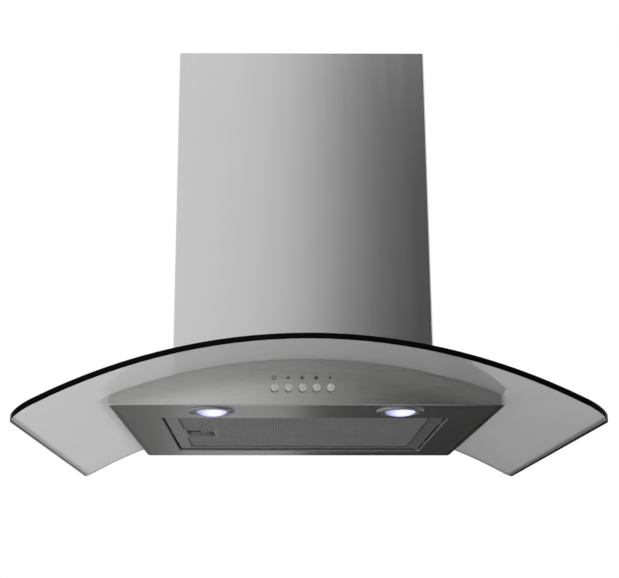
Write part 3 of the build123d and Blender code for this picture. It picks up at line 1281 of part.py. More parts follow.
def chimney_bracket():
    """The wall bracket of the upper cover, joggled round the cover's returns."""
    t = BRACKET_SHEET
    z = (BRACKET_Z - BRACKET_HEIGHT / 2, BRACKET_Z + BRACKET_HEIGHT / 2)
    inside = UPPER_HALF - SHEET
    edge = UPPER_HALF - CHIMNEY_RETURN - SEAT_GAP
    step = UPPER_REAR - SHEET - t
    bracket = block((-edge, edge), (-t, 0), z)
    for side in (-1, 1):
        bracket += block((side * (edge - t), side * edge), (step - t, 0), z)
        bracket += block((side * (edge - t), side * inside), (step - t, step), z)
        bracket += block((side * (inside - t), side * inside), (-BRACKET_ARM, step), z)
    for x in (-BRACKET_HOLE_X, BRACKET_HOLE_X):
        bracket -= rod_y(WALL_HOLE_RADIUS, x, BRACKET_Z, (-t - CUT, CUT))
    for place in bracket_screw_places():
        bracket -= screw_hole(place, M4, M4_HEAD)
    return bracket


def bracket_screws():
    screw = pan_screw(M4, M4_HEAD, BRACKET_SHEET + SHEET)
    return [place * screw for place in bracket_screw_places()]


# ---- all pieces ----


def lamp_pieces():
    made = {}
    for name, x in (("left", -LAMP_X), ("right", LAMP_X)):
        place = Pos(x, LAMP_Y, 0)
        made["lamp_trim_" + name] = place * lamp_trim()
        made["lamp_lens_" + name] = place * lamp_lens()
        made["lamp_body_" + name] = place * lamp_body()
        made["lamp_led_" + name] = place * lamp_led()
    return made


def button_pieces():
    made = {}
    for number, x in enumerate(button_places(), start=1):
        made[f"button_{number}"] = button(x)
        made[f"button_spring_{number}"] = button_spring(x)
    return made


def pieces():
    """Every node by name, each a solid or a list of solids."""
    meshes, core = filter_layers()
    grommets, nuts = motor_mounts()
    return {
        "glass_canopy": glass_canopy(),
        "glass_seal": glass_seal(),
        **glass_fixings(),
        "body_frame": body_frame(),
        "underside_panel": underside_panel(),
        "arched_deck": arched_deck(),
        "filter_frame": filter_frame(),
        "filter_mesh_sheets": meshes,
        "filter_core": core,
        "latch_pocket": latch_pocket(),
        "filter_latch": filter_latch(),
        "latch_spring": latch_spring(),
        **lamp_pieces(),
        **button_pieces(),
        "switch_block": switch_block(),
        "led_driver": led_driver(),
        "chassis": chassis(),
        "chassis_front_cover": chassis_front_cover(),
        "pan_head_screws": pan_head_screws(),
        "scroll_half_left": scroll_half(-1),
        "scroll_half_right": scroll_half(1),
        "impeller": impeller(),
        "motor_shaft": motor_shaft(),
        "motor": motor(),
        "motor_bracket": motor_bracket(),
        "motor_grommets": grommets,
        "motor_nuts": nuts,
        "capacitor": capacitor(),
        "capacitor_strap": capacitor_strap(),
        "terminal_box": terminal_box(),
        "terminal_box_lid": terminal_box_lid(),
        "terminal_block": terminal_block(),
        "cable_gland": cable_gland(),
        "outlet_collar": outlet_collar(),
        "check_flap_front": check_flap(-1),
        "check_flap_rear": check_flap(1),
        "flap_pin": flap_pin(),
        "chimney_lower": chimney_lower(),
        "chimney_upper": chimney_upper(),
        "chimney_bracket": chimney_bracket(),
        "bracket_screws": bracket_screws(),
    }


def write(made):
    """One file per node, with the origin moved to the centre of the wall holes."""
    os.makedirs("parts", exist_ok=True)
    down = Pos(0, 0, -WALL_HOLE_Z)
    for name, piece in made.items():
        shapes = piece if isinstance(piece, list) else [piece]
        solids = [down * solid for shape in shapes for solid in shape.solids()]
        export_step(solids[0] if len(solids) == 1 else Compound(children=solids), f"parts/{name}.step")


write(pieces())
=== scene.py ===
"""Looks, light and camera for the curved glass range hood.

Metres. The wall is the plane y = 0, and the room is towards -Y.
"""

import json
import math

import bpy
from mathutils import Matrix, Vector


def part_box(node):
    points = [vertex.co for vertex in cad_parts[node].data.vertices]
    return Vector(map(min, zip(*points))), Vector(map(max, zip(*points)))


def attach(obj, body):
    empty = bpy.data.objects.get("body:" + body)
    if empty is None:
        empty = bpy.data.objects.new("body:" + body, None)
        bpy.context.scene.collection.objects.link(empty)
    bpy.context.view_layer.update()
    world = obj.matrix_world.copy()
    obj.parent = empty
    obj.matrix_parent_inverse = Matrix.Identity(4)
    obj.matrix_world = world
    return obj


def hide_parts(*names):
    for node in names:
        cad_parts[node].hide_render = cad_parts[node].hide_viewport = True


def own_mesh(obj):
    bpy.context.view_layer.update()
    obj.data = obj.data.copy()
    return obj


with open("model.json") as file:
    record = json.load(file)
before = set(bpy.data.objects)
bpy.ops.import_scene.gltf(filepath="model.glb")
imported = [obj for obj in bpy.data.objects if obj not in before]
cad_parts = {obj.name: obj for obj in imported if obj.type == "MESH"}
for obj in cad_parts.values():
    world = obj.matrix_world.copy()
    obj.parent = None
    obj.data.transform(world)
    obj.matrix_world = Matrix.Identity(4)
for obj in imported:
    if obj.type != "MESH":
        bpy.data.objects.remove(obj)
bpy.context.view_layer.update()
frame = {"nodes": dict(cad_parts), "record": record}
nodes = frame["nodes"]

# ---------------------------------------------------------------- node helpers

METAL_GRAIN_DEPTH = 0.0001


class Mat:
    """A node material built round one Principled shader, with helpers for procedural detail."""

    def __init__(self, name, **sockets):
        self.material = bpy.data.materials.new(name)
        self.material.use_nodes = True
        self.tree = self.material.node_tree
        self.shader = self.tree.nodes["Principled BSDF"]
        for socket, value in sockets.items():
            self.set(socket.replace("_", " "), value)
        self.coords = self.new("ShaderNodeTexCoord").outputs["Object"]

    def set(self, socket, value):
        """The same number or colour all over the surface."""
        value = (*value, 1) if isinstance(value, tuple) else value
        self.shader.inputs[socket].default_value = value

    def to(self, socket, output):
        """A number or colour that changes over the surface."""
        self.link(output, self.shader.inputs[socket])

    def new(self, kind, **fields):
        node = self.tree.nodes.new(kind)
        for field, value in fields.items():
            setattr(node, field, value)
        return node

    def link(self, output, target):
        self.tree.links.new(output, target)

    def texture(self, kind, scale):
        """A texture node at scale 1 on object coordinates that are scaled per axis."""
        mapping = self.new("ShaderNodeMapping")
        mapping.inputs["Scale"].default_value = scale
        self.link(self.coords, mapping.inputs["Vector"])
        node = self.new(kind)
        node.inputs["Scale"].default_value = 1.0
        self.link(mapping.outputs["Vector"], node.inputs["Vector"])
        return node

    def noise(self, scale, detail=3.0, rough=0.5):
        node = self.texture("ShaderNodeTexNoise", scale)
        node.inputs["Detail"].default_value = detail
        node.inputs["Roughness"].default_value = rough
        return node.outputs["Fac"]

    def cells(self, scale):
        return self.texture("ShaderNodeTexVoronoi", scale).outputs["Distance"]

    def math(self, operation, *values):
        node = self.new("ShaderNodeMath", operation=operation)
        for index, value in enumerate(values):
            if isinstance(value, (int, float)):
                node.inputs[index].default_value = value
            else:
                self.link(value, node.inputs[index])
        return node.outputs[0]

    def ramp(self, value, low, high, start=0.3, end=0.7):
        """A value mapped from start..end, at first the usual span of a noise, to low..high."""
        node = self.new("ShaderNodeMapRange")
        ends = (("From Min", start), ("From Max", end), ("To Min", low), ("To Max", high))
        for socket, number in ends:
            node.inputs[socket].default_value = number
        self.link(value, node.inputs["Value"])
        return node.outputs["Result"]

    def colours(self, value, *stops):
        """A colour ramp from (place, colour) stops."""
        node = self.new("ShaderNodeValToRGB")
        ramp = node.color_ramp
        while len(ramp.elements) < len(stops):
            ramp.elements.new(0.5)
        for element, (place, colour) in zip(ramp.elements, stops):
            element.position = place
            element.color = (*colour, 1)
        self.link(value, node.inputs["Fac"])
        return node.outputs["Color"]

    def bump(self, height, strength, distance):
        node = self.new("ShaderNodeBump")
        node.inputs["Strength"].default_value = strength
        node.inputs["Distance"].default_value = distance
        self.link(height, node.inputs["Height"])
        self.to("Normal", node.outputs["Normal"])


def grey(value):
    return (value, value, value)


def brushed(name, colour, rough, grain, tone=0.04, broad=0.35, bump=0.05, rough_spread=0.03):
    """Sheet with streaks: grain is small along them and large across them, tone is their contrast.

    broad is the share of a second set of streaks, nine times as wide.
    """
    m = Mat(name, Metallic=1.0)
    fine = m.math("MULTIPLY", m.noise(grain, 4.0, 0.6), 1 - broad)
    wide = m.math("MULTIPLY", m.noise(tuple(g * 0.11 for g in grain), 3.0, 0.5), broad)
    streaks = m.math("ADD", fine, wide)
    low = tuple(c * (1 - tone) for c in colour)
    high = tuple(c * (1 + tone) for c in colour)
    m.to("Base Color", m.colours(streaks, (0.3, low), (0.7, high)))
    m.to("Roughness", m.ramp(streaks, rough - rough_spread, rough + rough_spread))
    m.bump(streaks, bump, METAL_GRAIN_DEPTH)
    return m.material


def plastic(name, colour, rough, grain=900.0, depth=0.00008):
    """A moulded, painted or rubber surface with a fine pebble."""
    m = Mat(name)
    pebble = m.noise((grain, grain, grain), 2.0)
    m.to("Base Color", m.colours(pebble, (0.35, tuple(c * 0.92 for c in colour)), (0.65, colour)))
    m.to("Roughness", m.ramp(pebble, rough - 0.04, rough + 0.05))
    m.bump(pebble, 0.15, depth)
    return m.material


def plated(name, colour, rough):
    """Small metal parts with faint cloudy plating."""
    m = Mat(name, Metallic=1.0)
    cloud = m.noise((260, 260, 260), 3.0)
    m.to("Base Color", m.colours(cloud, (0.3, tuple(c * 0.88 for c in colour)), (0.7, colour)))
    m.to("Roughness", m.ramp(cloud, rough - 0.05, rough + 0.08))
    return m.material


def galvanised(name):
    """Zinc sheet with a soft spangle."""
    m = Mat(name, Metallic=1.0)
    spangle = m.cells((70, 70, 70))
    m.to("Base Color", m.colours(spangle, (0.0, (0.5, 0.52, 0.53)), (0.8, (0.64, 0.66, 0.67))))
    m.to("Roughness", m.ramp(spangle, 0.34, 0.48, 0.0, 0.8))
    return m.material


# ---------------------------------------------------------------- materials

GLASS_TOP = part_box("glass_canopy")[1]
GLASS_OUTER_RADIUS = 0.596
END_CLEAR, END_BLACK = 0.0034, 0.0024  # where a side end's black starts and is full, from the end
LAMPS = {"left": (-0.104, -0.352), "right": (0.104, -0.352)}
GLOW_SHIFT, GLOW_LEVEL = (0.003, -0.008), -0.173  # the glow's middle, from the lens's and in z
GLOW_REACH = 0.022


def canopy_glass():
    """Grey tinted glass whose black ground side ends show through it for a few millimetres."""
    m = Mat("canopy_glass", Transmission_Weight=0.5, IOR=1.3, Specular_IOR_Level=0.3)
    haze = m.noise((9, 9, 9), 2.0)
    haze_share, end_share = 0.02, 0.4
    place = m.new("ShaderNodeSeparateXYZ")
    m.link(m.coords, place.inputs[0])
    out = m.math("ABSOLUTE", place.outputs["X"])
    ends = m.ramp(out, 0.0, end_share, GLASS_TOP.x - END_CLEAR, GLASS_TOP.x - END_BLACK)
    tint = m.math("ADD", m.ramp(haze, 0.0, haze_share), ends)
    stops = (0.0, grey(0.81)), (haze_share, grey(0.83)), (end_share, grey(0.03))
    m.to("Base Color", m.colours(tint, *stops))
    m.to("Roughness", m.ramp(haze, 0.01, 0.03))
    return m.material


def edge_glass():
    """The ground edges, which look black."""
    m = Mat("canopy_glass_edge", IOR=1.5, Specular_IOR_Level=0.02)
    fine = m.noise((700, 700, 700), 2.0)
    m.to("Base Color", m.colours(fine, (0.3, grey(0.002)), (0.7, grey(0.006))))
    m.to("Roughness", m.ramp(fine, 0.1, 0.2))
    return m.material


def mesh_metal():
    """Pressed aluminium strands, dulled by handling in soft patches."""
    m = Mat("filter_mesh_metal", Metallic=0.6)
    cloud = m.noise((30, 30, 30), 4.0)
    m.to("Base Color", m.colours(cloud, (0.3, grey(0.29)), (0.7, grey(0.33))))
    grain = m.noise((900, 900, 900), 2.0)
    m.to("Roughness", m.ramp(grain, 0.5, 0.62))
    m.bump(grain, 0.2, METAL_GRAIN_DEPTH)
    return m.material


def lamp_glass(name, x, y):
    """A lit lens: white in the middle, blue-violet towards its rim and most so at its rear left."""
    m = Mat(name, Roughness=0.3, Base_Color=(0.2, 0.21, 0.28), Emission_Strength=1.0)
    away = m.new("ShaderNodeVectorMath", operation="DISTANCE")
    m.link(m.coords, away.inputs[0])
    away.inputs[1].default_value = (x + GLOW_SHIFT[0], y + GLOW_SHIFT[1], GLOW_LEVEL)
    grain = m.math("SUBTRACT", m.noise((500, 500, 500), 2.0), 0.5)
    reach = m.math("ADD", away.outputs["Value"], m.math("MULTIPLY", grain, 0.006))
    glow = m.colours(
        m.math("MULTIPLY", reach, 1 / GLOW_REACH),
        (0.0, (0.92, 0.93, 1.0)),
        (0.4, (0.74, 0.75, 0.98)),
        (0.72, (0.36, 0.36, 0.7)),
        (1.0, (0.08, 0.08, 0.25)),
    )
    m.to("Emission Color", glow)
    return m.material


upright_steel = brushed(
    "steel_upright_grain", (0.59, 0.589, 0.59), 0.245, (460, 460, 5),
    tone=0.022, broad=0.3, bump=0.007, rough_spread=0.012,
)
level_steel = brushed(
    "steel_level_grain", (0.56, 0.56, 0.55), 0.28, (30, 1800, 2600),
    tone=0.028, broad=0.0, bump=0.003, rough_spread=0.008,
)
underside_steel = brushed(
    "steel_underside", (0.47, 0.47, 0.465), 0.34, (20, 1500, 900), tone=0.03, broad=0.06, bump=0.015
)
rubber = plastic("rubber", grey(0.03), 0.7, 500.0)
casting = plated("satin_casting", (0.72, 0.72, 0.73), 0.32)
spring_wire = plated("spring_wire", (0.6, 0.6, 0.62), 0.25)
black_moulding = plastic("black_moulding", (0.035, 0.035, 0.04), 0.45)
trim_metal = plated("lamp_trim_metal", grey(0.4), 0.42)

by_slot = {
    "stainless": level_steel,
    "canopy_glass": canopy_glass(),
    "seal": rubber,
    "galvanised": galvanised("galvanised_sheet"),
    "filter_aluminium": brushed("pressed_aluminium", grey(0.5), 0.42, (20, 900, 900)),
    "fasteners": plated("zinc_plated", (0.7, 0.7, 0.69), 0.28),
    "lamp_metal": casting,
    "lamp_lens": casting,  # on the flat lenses, which the domed ones below replace
    "led_board": plastic("led_board", (0.88, 0.87, 0.75), 0.5),
    "buttons": plastic("satin_caps", grey(0.72), 0.4, 1200.0, 0.00003),
    "spring_steel": spring_wire,
    "black_plastic": black_moulding,
    "grey_plastic": plastic("grey_moulding", (0.3, 0.31, 0.32), 0.5),
    "white_plastic": plastic("white_moulding", (0.8, 0.8, 0.77), 0.45),
    "motor_paint": plastic("motor_enamel", (0.05, 0.05, 0.055), 0.35, 1500.0, 0.00004),
    "capacitor_can": plastic("capacitor_can", (0.78, 0.78, 0.75), 0.25, 300.0, 0.00002),
    "dark_steel": plated("dark_steel", grey(0.1), 0.35),
}
by_node = {
    "filter_frame": brushed("filter_frame_sheet", grey(0.36), 0.45, (20, 900, 900)),
    "latch_pocket": plastic("latch_pocket_coat", grey(0.29), 0.6, 700.0),
    "filter_latch": plated("latch_metal", grey(0.2), 0.5),
    "lamp_trim_left": trim_metal,
    "lamp_trim_right": trim_metal,
    "chimney_lower": upright_steel,
    "chimney_upper": upright_steel,
    "underside_panel": underside_steel,
    "filter_core": brushed("crimped_foil", grey(0.3), 0.5, (900, 20, 900)),
}
slot_of = {part["node"]: part["material_slot"] for part in frame["record"]["subparts"]}
for name, thing in nodes.items():
    thing.data.materials.clear()
    thing.data.materials.append(by_node.get(name, by_slot[slot_of[name]]))


def second_material(thing, material, is_first):
    """Every face that isn't for the first material gets another."""
    thing.data.materials.append(material)
    for face in thing.data.polygons:
        face.material_index = 0 if is_first(face) else 1


def is_broad_glass(face):
    """Whether a face of the glass lies on its bend and isn't an edge."""
    bend_axis = GLASS_TOP.z - GLASS_OUTER_RADIUS
    radial = Vector((face.center.x, 0, face.center.z - bend_axis)).normalized()
    return abs(face.normal.dot(radial)) > 0.9


BUTTONS = range(1, 6)
# The sides of each button are painted near black: painted shade that stands in for the dark
# crescent of shadow at its lower edge.
button_side_shade = plastic("button_side_painted_shade", grey(0.04), 0.5)
for number in BUTTONS:
    second_material(nodes[f"button_{number}"], button_side_shade, lambda face: face.normal.y < -0.5)
second_material(nodes["glass_canopy"], edge_glass(), is_broad_glass)

# ---------------------------------------------------------------- pieces of the scene's own


def add_piece(name, points, faces, material, body):
    """A piece from its mesh and material, which rides on a body."""
    mesh = bpy.data.meshes.new(name)
    mesh.from_pydata(points, [], faces)
    mesh.materials.append(material)
    mesh.update()
    piece = bpy.data.objects.new(name, mesh)
    bpy.context.scene.collection.objects.link(piece)
    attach(piece, body)
    return piece


class Shape:
    """Points and faces of one piece, gathered before its mesh is made."""

    def __init__(self):
        self.points, self.faces, self.known = [], [], {}

    def point(self, x, y, z):
        key = (round(x, 6), round(y, 6), round(z, 6))
        if key not in self.known:
            self.known[key] = len(self.points)
            self.points.append(key)
        return self.known[key]

    def face(self, *points):
        self.faces.append([self.point(*p) for p in points])

    def prism(self, outline, axis, low, high):
        """A flat outline (two coordinates each) between two levels along an axis."""

        def at(pair, level):
            p = list(pair)
            p.insert(axis, level)
            return tuple(p)

        outline = outline if axis != 1 else outline[::-1]
        self.face(*[at(p, high) for p in outline])
        self.face(*[at(p, low) for p in reversed(outline)])
        for p, q in zip(outline, outline[1:] + outline[:1]):
            self.face(at(p, low), at(q, low), at(q, high), at(p, high))

    def plate(self, x, y, z):
        self.prism([(x[0], y[0]), (x[1], y[0]), (x[1], y[1]), (x[0], y[1])], 2, *z)

    def made(self, name, material, body, slot):
        return add_piece(name, self.points, self.faces, material, body)


MESH_SHEET = 0.0008
MESH_RIM = 0.0135  # plain border of a mesh sheet
POCKET_RIM = 0.0045  # plain border of the lower sheet round the finger pocket
POCKET_LIP = 0.0019  # the pocket's own lip, which the lower sheet laps
POCKET_GAP = 0.0003
LATCH_HALF = 0.0076  # half the way that the latch slides in
STRAND_INSET = 0.0001  # the strands are thinner than the borders, at both faces
STRAND_LAP = 0.002  # how far the strands run over the pocket's border
STRAND_HOLE = 0.6  # of each diamond
FINE_DIAMOND, COARSE_DIAMOND = (0.0066, 0.0044), (0.0132, 0.0088)


def expanded(shape, x, y, z, cell, left_out=None):
    """Staggered diamonds between strands over a window, but not in the rectangle left out."""
    columns, rows = round((x[1] - x[0]) / cell[0]), round((y[1] - y[0]) / cell[1])
    wide, deep = (x[1] - x[0]) / columns, (y[1] - y[0]) / rows
    outer = {}

    def diamond(cx, cy, share, level):
        a, b = share * wide / 2, share * deep / 2
        return [(cx - a, cy, level), (cx, cy - b, level), (cx + a, cy, level), (cx, cy + b, level)]

    for count_x, count_y in ((columns, rows), (columns - 1, rows - 1)):
        for i in range(count_x):
            for j in range(count_y):
                cx = (x[0] + x[1]) / 2 + (i - (count_x - 1) / 2) * wide
                cy = (y[0] + y[1]) / 2 + (j - (count_y - 1) / 2) * deep
                if left_out and left_out[0] < cx < left_out[1] and left_out[2] < cy < left_out[3]:
                    continue
                low, low_in = diamond(cx, cy, 1, z[0]), diamond(cx, cy, STRAND_HOLE, z[0])
                top, top_in = diamond(cx, cy, 1, z[1]), diamond(cx, cy, STRAND_HOLE, z[1])
                for n in range(4):
                    k = (n + 1) % 4
                    side = frozenset((shape.point(*low[n]), shape.point(*low[k])))
                    outer[side] = None if side in outer else (low[n], low[k], top[k], top[n])
                    shape.face(low[k], low[n], low_in[n], low_in[k])
                    shape.face(top[n], top[k], top_in[k], top_in[n])
                    shape.face(low_in[k], low_in[n], top_in[n], top_in[k])
    for wall in outer.values():
        if wall:
            shape.face(*wall)


def filter_mesh():
    """Two fine expanded sheets in place of the coarse ones, the lower one open round the pocket."""
    (x0, y0, z0), (x1, y1, z1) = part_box("filter_mesh_sheets")
    pocket_low, pocket_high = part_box("latch_pocket")
    lap = POCKET_LIP - POCKET_GAP
    cut_x = (pocket_low.x + lap, pocket_high.x - lap)
    cut_y = (pocket_low.y + lap, pocket_high.y - lap)
    middle = (pocket_low.y + pocket_high.y) / 2
    way = (middle - LATCH_HALF, middle + LATCH_HALF)
    window_x, window_y = (x0 + MESH_RIM, x1 - MESH_RIM), (y0 + MESH_RIM, y1 - MESH_RIM)
    round_x = (window_x[0], cut_x[1] + POCKET_RIM)
    round_y = (cut_y[0] - POCKET_RIM, cut_y[1] + POCKET_RIM)

    lower = Shape()
    for x, y in (
        ((x0, x1), (y0, window_y[0])),
        ((x0, x1), (window_y[1], y1)),
        ((window_x[1], x1), window_y),
        ((x0, window_x[0]), (window_y[0], way[0])),
        ((x0, window_x[0]), (way[1], window_y[1])),
        (round_x, (round_y[0], cut_y[0])),
        (round_x, (cut_y[1], round_y[1])),
        ((cut_x[1], round_x[1]), cut_y),
        ((round_x[0], cut_x[0]), (cut_y[0], way[0])),
        ((round_x[0], cut_x[0]), (way[1], cut_y[1])),
    ):
        lower.plate(x, y, (z0, z0 + MESH_SHEET))
    hidden = (x0, round_x[1] - STRAND_LAP, round_y[0] + STRAND_LAP, round_y[1] - STRAND_LAP)
    level = (z0 + STRAND_INSET, z0 + MESH_SHEET - STRAND_INSET)
    expanded(lower, window_x, window_y, level, FINE_DIAMOND, hidden)

    upper = Shape()
    for x, y in (
        ((x0, x1), (y0, window_y[0])),
        ((x0, x1), (window_y[1], y1)),
        ((window_x[1], x1), window_y),
        ((x0, window_x[0]), window_y),
    ):
        upper.plate(x, y, (z1 - MESH_SHEET, z1))
    level = (z1 - MESH_SHEET + STRAND_INSET, z1 - STRAND_INSET)
    expanded(upper, window_x, window_y, level, COARSE_DIAMOND)

    metal = mesh_metal()
    for name, shape in (("filter_mesh_lower", lower), ("filter_mesh_upper", upper)):
        piece = shape.made(name, metal, "filter", "filter_aluminium")
        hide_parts("filter_mesh_sheets")


INK = 0.00004  # how far the marks stand proud; a quarter of that is sunk
MARK_SIZE = 0.0024
MARK_RISE = 0.0112  # over the middle of a button


def button_marks():
    """Small generic marks printed over the buttons: ring, arrow head, cross, dot and diamond."""
    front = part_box("body_frame")[0].y
    near, far = front - INK, front + INK / 4
    ink = plastic("mark_ink", grey(0.09), 0.6)

    def circle(radius, count, start=0.0):
        angles = [start + 2 * math.pi * n / count for n in range(count)]
        return [(cx + radius * math.cos(a), cz + radius * math.sin(a)) for a in angles]

    def ring(outer, inner):
        for n in range(len(outer)):
            k = (n + 1) % len(outer)
            a, b, c, d = outer[n], outer[k], inner[k], inner[n]
            shape.face(*[(x, near, z) for x, z in (a, b, c, d)])
            shape.face(*[(x, far, z) for x, z in (d, c, b, a)])
            for (x, z), (u, w) in ((a, b), (c, d)):
                shape.face((x, far, z), (u, far, w), (u, near, w), (x, near, z))

    def cross(half):
        arm = [(half, half), (half, MARK_SIZE), (-half, MARK_SIZE)]
        turns = ((1, 0), (0, 1), (-1, 0), (0, -1))
        return [(cx + a * u - b * v, cz + a * v + b * u) for u, v in turns for a, b in arm]

    for number in BUTTONS:
        low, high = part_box(f"button_{number}")
        cx, cz = (low.x + high.x) / 2, (low.z + high.z) / 2 + MARK_RISE
        shape = Shape()
        if number == 1:
            ring(circle(MARK_SIZE, 20), circle(MARK_SIZE * 0.62, 20))
        elif number == 2:
            shape.prism(circle(MARK_SIZE, 3, math.pi / 2), 1, near, far)
        elif number == 3:
            shape.prism(cross(MARK_SIZE * 0.3), 1, near, far)
        elif number == 4:
            shape.prism(circle(MARK_SIZE * 0.9, 18), 1, near, far)
        else:
            shape.prism(circle(MARK_SIZE * 0.7, 4), 1, near, far)
        shape.made(f"button_mark_{number}", ink, "hood", "black_plastic")


LENS_RISE = 0.0040
LENS_BAND = 0.0006  # upright rim below the lens's seat
LENS_RIPPLE = 0.00012  # height of its three shallow rings
LENS_FLUTES, FLUTE_SHARE = 12, 0.012
CLIP_ENDS = (("outer", 0.0225, -0.006, -0.25), ("inner", -0.0222, 0.004, -0.18))  # x, y, turn
CLIP_HALF = (0.0012, 0.0026)
CLIP_SUNK, CLIP_PROUD = 0.0004, 0.0003  # from the trim ring's lowest face


def lamp_lens(side):
    """A domed lens with shallow rings and flutes, in place of the flat one."""
    x, y = LAMPS[side]
    low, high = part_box(f"lamp_lens_{side}")
    radius = (high.x - low.x) / 2
    turns, steps = 72, 12
    start = low.z + LENS_BAND
    rings = [(radius, high.z), (radius, start)]
    for n in range(1, steps):
        share = n / steps
        ripple = LENS_RIPPLE * math.cos(share * 6 * math.pi)
        drop = (LENS_RISE + LENS_BAND) * math.sin(share * math.pi / 2)
        rings.append((radius * (1 - share ** 1.6), start - drop + ripple))
    points, faces = [], []
    for r, z in rings:
        for k in range(turns):
            a = 2 * math.pi * k / turns
            flute = 1 if r == radius else 1 + FLUTE_SHARE * math.cos(LENS_FLUTES * a)
            points.append((x + r * flute * math.cos(a), y + r * flute * math.sin(a), z))
    for n in range(len(rings) - 1):
        near, far = n * turns, (n + 1) * turns
        for k in range(turns):
            j = (k + 1) % turns
            faces.append((near + j, near + k, far + k, far + j))
    points += [(x, y, low.z - LENS_RISE), (x, y, high.z)]
    tip, top = len(points) - 2, len(points) - 1
    last = (len(rings) - 1) * turns
    for k in range(turns):
        j = (k + 1) % turns
        faces.append((last + j, last + k, tip))
        faces.append((k, j, top))
    glass = lamp_glass(f"lamp_glass_{side}", x, y)
    dome = add_piece(f"lamp_dome_{side}", points, faces, glass, "hood")
    for face in dome.data.polygons:
        face.use_smooth = face.index >= turns
    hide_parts(f"lamp_lens_{side}")


def clip_ends(side):
    """The dark ends of the spring clips, in the lamp's trim ring at both sides."""
    x, y = LAMPS[side]
    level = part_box(f"lamp_trim_{side}")[0].z
    for name, cx, cy, turn in CLIP_ENDS:
        cos, sin = math.cos(turn), math.sin(turn)
        shape = Shape()
        outline = []
        for a, b in ((-1, -1), (1, -1), (1.3, 0), (1, 1), (-1, 1), (-1.3, 0)):
            u, v = a * CLIP_HALF[0], b * CLIP_HALF[1]
            outline.append((x + cx + u * cos - v * sin, y + cy + u * sin + v * cos))
        shape.prism(outline, 2, level - CLIP_PROUD, level + CLIP_SUNK)
        shape.made(f"lamp_clip_{side}_{name}", black_moulding, "hood", "black_plastic")


CLOSED_TURNS = 0.8  # at each end of a spring


def spring(node, body, axis, wire, turns):
    """A round-wire spring with closed ends in place of a faceted one."""
    low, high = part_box(node)
    across = [n for n in range(3) if n != axis]
    centre = (low + high) / 2
    length = high[axis] - low[axis]
    radius = max(high[n] - low[n] for n in across) / 2 - wire / 2
    per_turn, around = 24, 8
    steps = per_turn * turns
    open_turns = turns - 2 * CLOSED_TURNS
    points, faces = [], []
    for step in range(steps + 1):
        turn = step / per_turn
        inner = min(max(turn - CLOSED_TURNS, 0.0), open_turns) / open_turns
        closed = min(turn, CLOSED_TURNS) + max(turn - (turns - CLOSED_TURNS), 0.0)
        along = wire / 2 + closed * wire + inner * (length - wire - 2 * CLOSED_TURNS * wire)
        angle = 2 * math.pi * turn
        for k in range(around):
            phi = 2 * math.pi * k / around
            reach = radius + wire / 2 * math.cos(phi)
            point = [0.0, 0.0, 0.0]
            point[across[0]] = centre[across[0]] + reach * math.cos(angle)
            point[across[1]] = centre[across[1]] + reach * math.sin(angle)
            point[axis] = low[axis] + along + wire / 2 * math.sin(phi)
            points.append(tuple(point))
    for step in range(steps):
        a, b = step * around, (step + 1) * around
        for k in range(around):
            j = (k + 1) % around
            faces.append((a + k, b + k, b + j, a + j))
    faces.append(tuple(range(around)))
    faces.append(tuple(reversed(range(steps * around, (steps + 1) * around))))
    if axis == 1:
        faces = [face[:1] + face[:0:-1] for face in faces]
    piece = add_piece(node + "_coil", points, faces, spring_wire, body)
    for face in piece.data.polygons:
        face.use_smooth = len(face.vertices) == 4
    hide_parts(node)
    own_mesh(piece)


filter_mesh()
button_marks()
for side in LAMPS:
    lamp_lens(side)
    clip_ends(side)
for number in BUTTONS:
    spring(f"button_spring_{number}", "hood", 1, 0.0006, 4)
spring("latch_spring", "filter", 0, 0.0005, 5)

# ---------------------------------------------------------------- stage

FLOOR_LEVEL, FLOOR_SPAN = -2.0, 80.0
FLOOR_WHITE = 0.9  # share of plain white in the floor that is seen; the rest takes the shadow
UPRIGHT, LEVEL, SLANTED = (90, 0, 0), (0, 0, 0), (90, 38, 0)

# What the steel and the glass mirror: name, size, place, turn in degrees, grey, seen through glass.
CARDS = (
    ("dark_card_right", (1.5, 3.6), (0.91, -2.6, 0.1), UPRIGHT, 0.01, True),
    ("dark_card_low", (0.5, 1.6), (0.2, -2.55, -0.52), UPRIGHT, 0.01, False),
    ("dark_card_floor_right", (2.2, 3.2), (1.50, -0.6, -1.3), LEVEL, 0.0, False),
    ("small_flag_right", (0.375, 0.11), (0.606, 2.2, 0.454), SLANTED, 0.01, True),
    ("dark_card_below", (1.0, 0.7), (0.0, -0.75, -1.9), LEVEL, 0.01, False),
    ("dark_card_front", (3.4, 1.3), (-0.9, -2.6, -1.4), UPRIGHT, 0.01, False),
    ("low_card_left", (0.8, 1.8), (-0.75, 2.0, -0.95), UPRIGHT, 0.18, False),
    ("low_card_middle", (0.4, 1.8), (-0.15, 2.0, -0.95), UPRIGHT, 0.8, False),
    ("low_card_right", (1.1, 1.8), (0.6, 2.0, -0.95), UPRIGHT, 0.005, False),
)


def matte(name, colour):
    """A plain grey for the stage, and its shader."""
    material = bpy.data.materials.new(name)
    material.use_nodes = True
    shader = material.node_tree.nodes["Principled BSDF"]
    shader.inputs["Base Color"].default_value = (*grey(colour), 1)
    shader.inputs["Roughness"].default_value = 0.9
    shader.inputs["Specular IOR Level"].default_value = 0.0
    return material, shader


def card(name, size, place, turn, colour, through):
    """A flat studio card, off the picture and hidden from the camera."""
    angles = [math.radians(a) for a in turn]
    bpy.ops.mesh.primitive_plane_add(size=1, location=place, rotation=angles)
    thing = bpy.context.object
    thing.name = name
    thing.scale = (*size, 1)
    thing.data.materials.append(matte(name, colour)[0])
    thing.visible_camera = False
    thing.visible_transmission = through


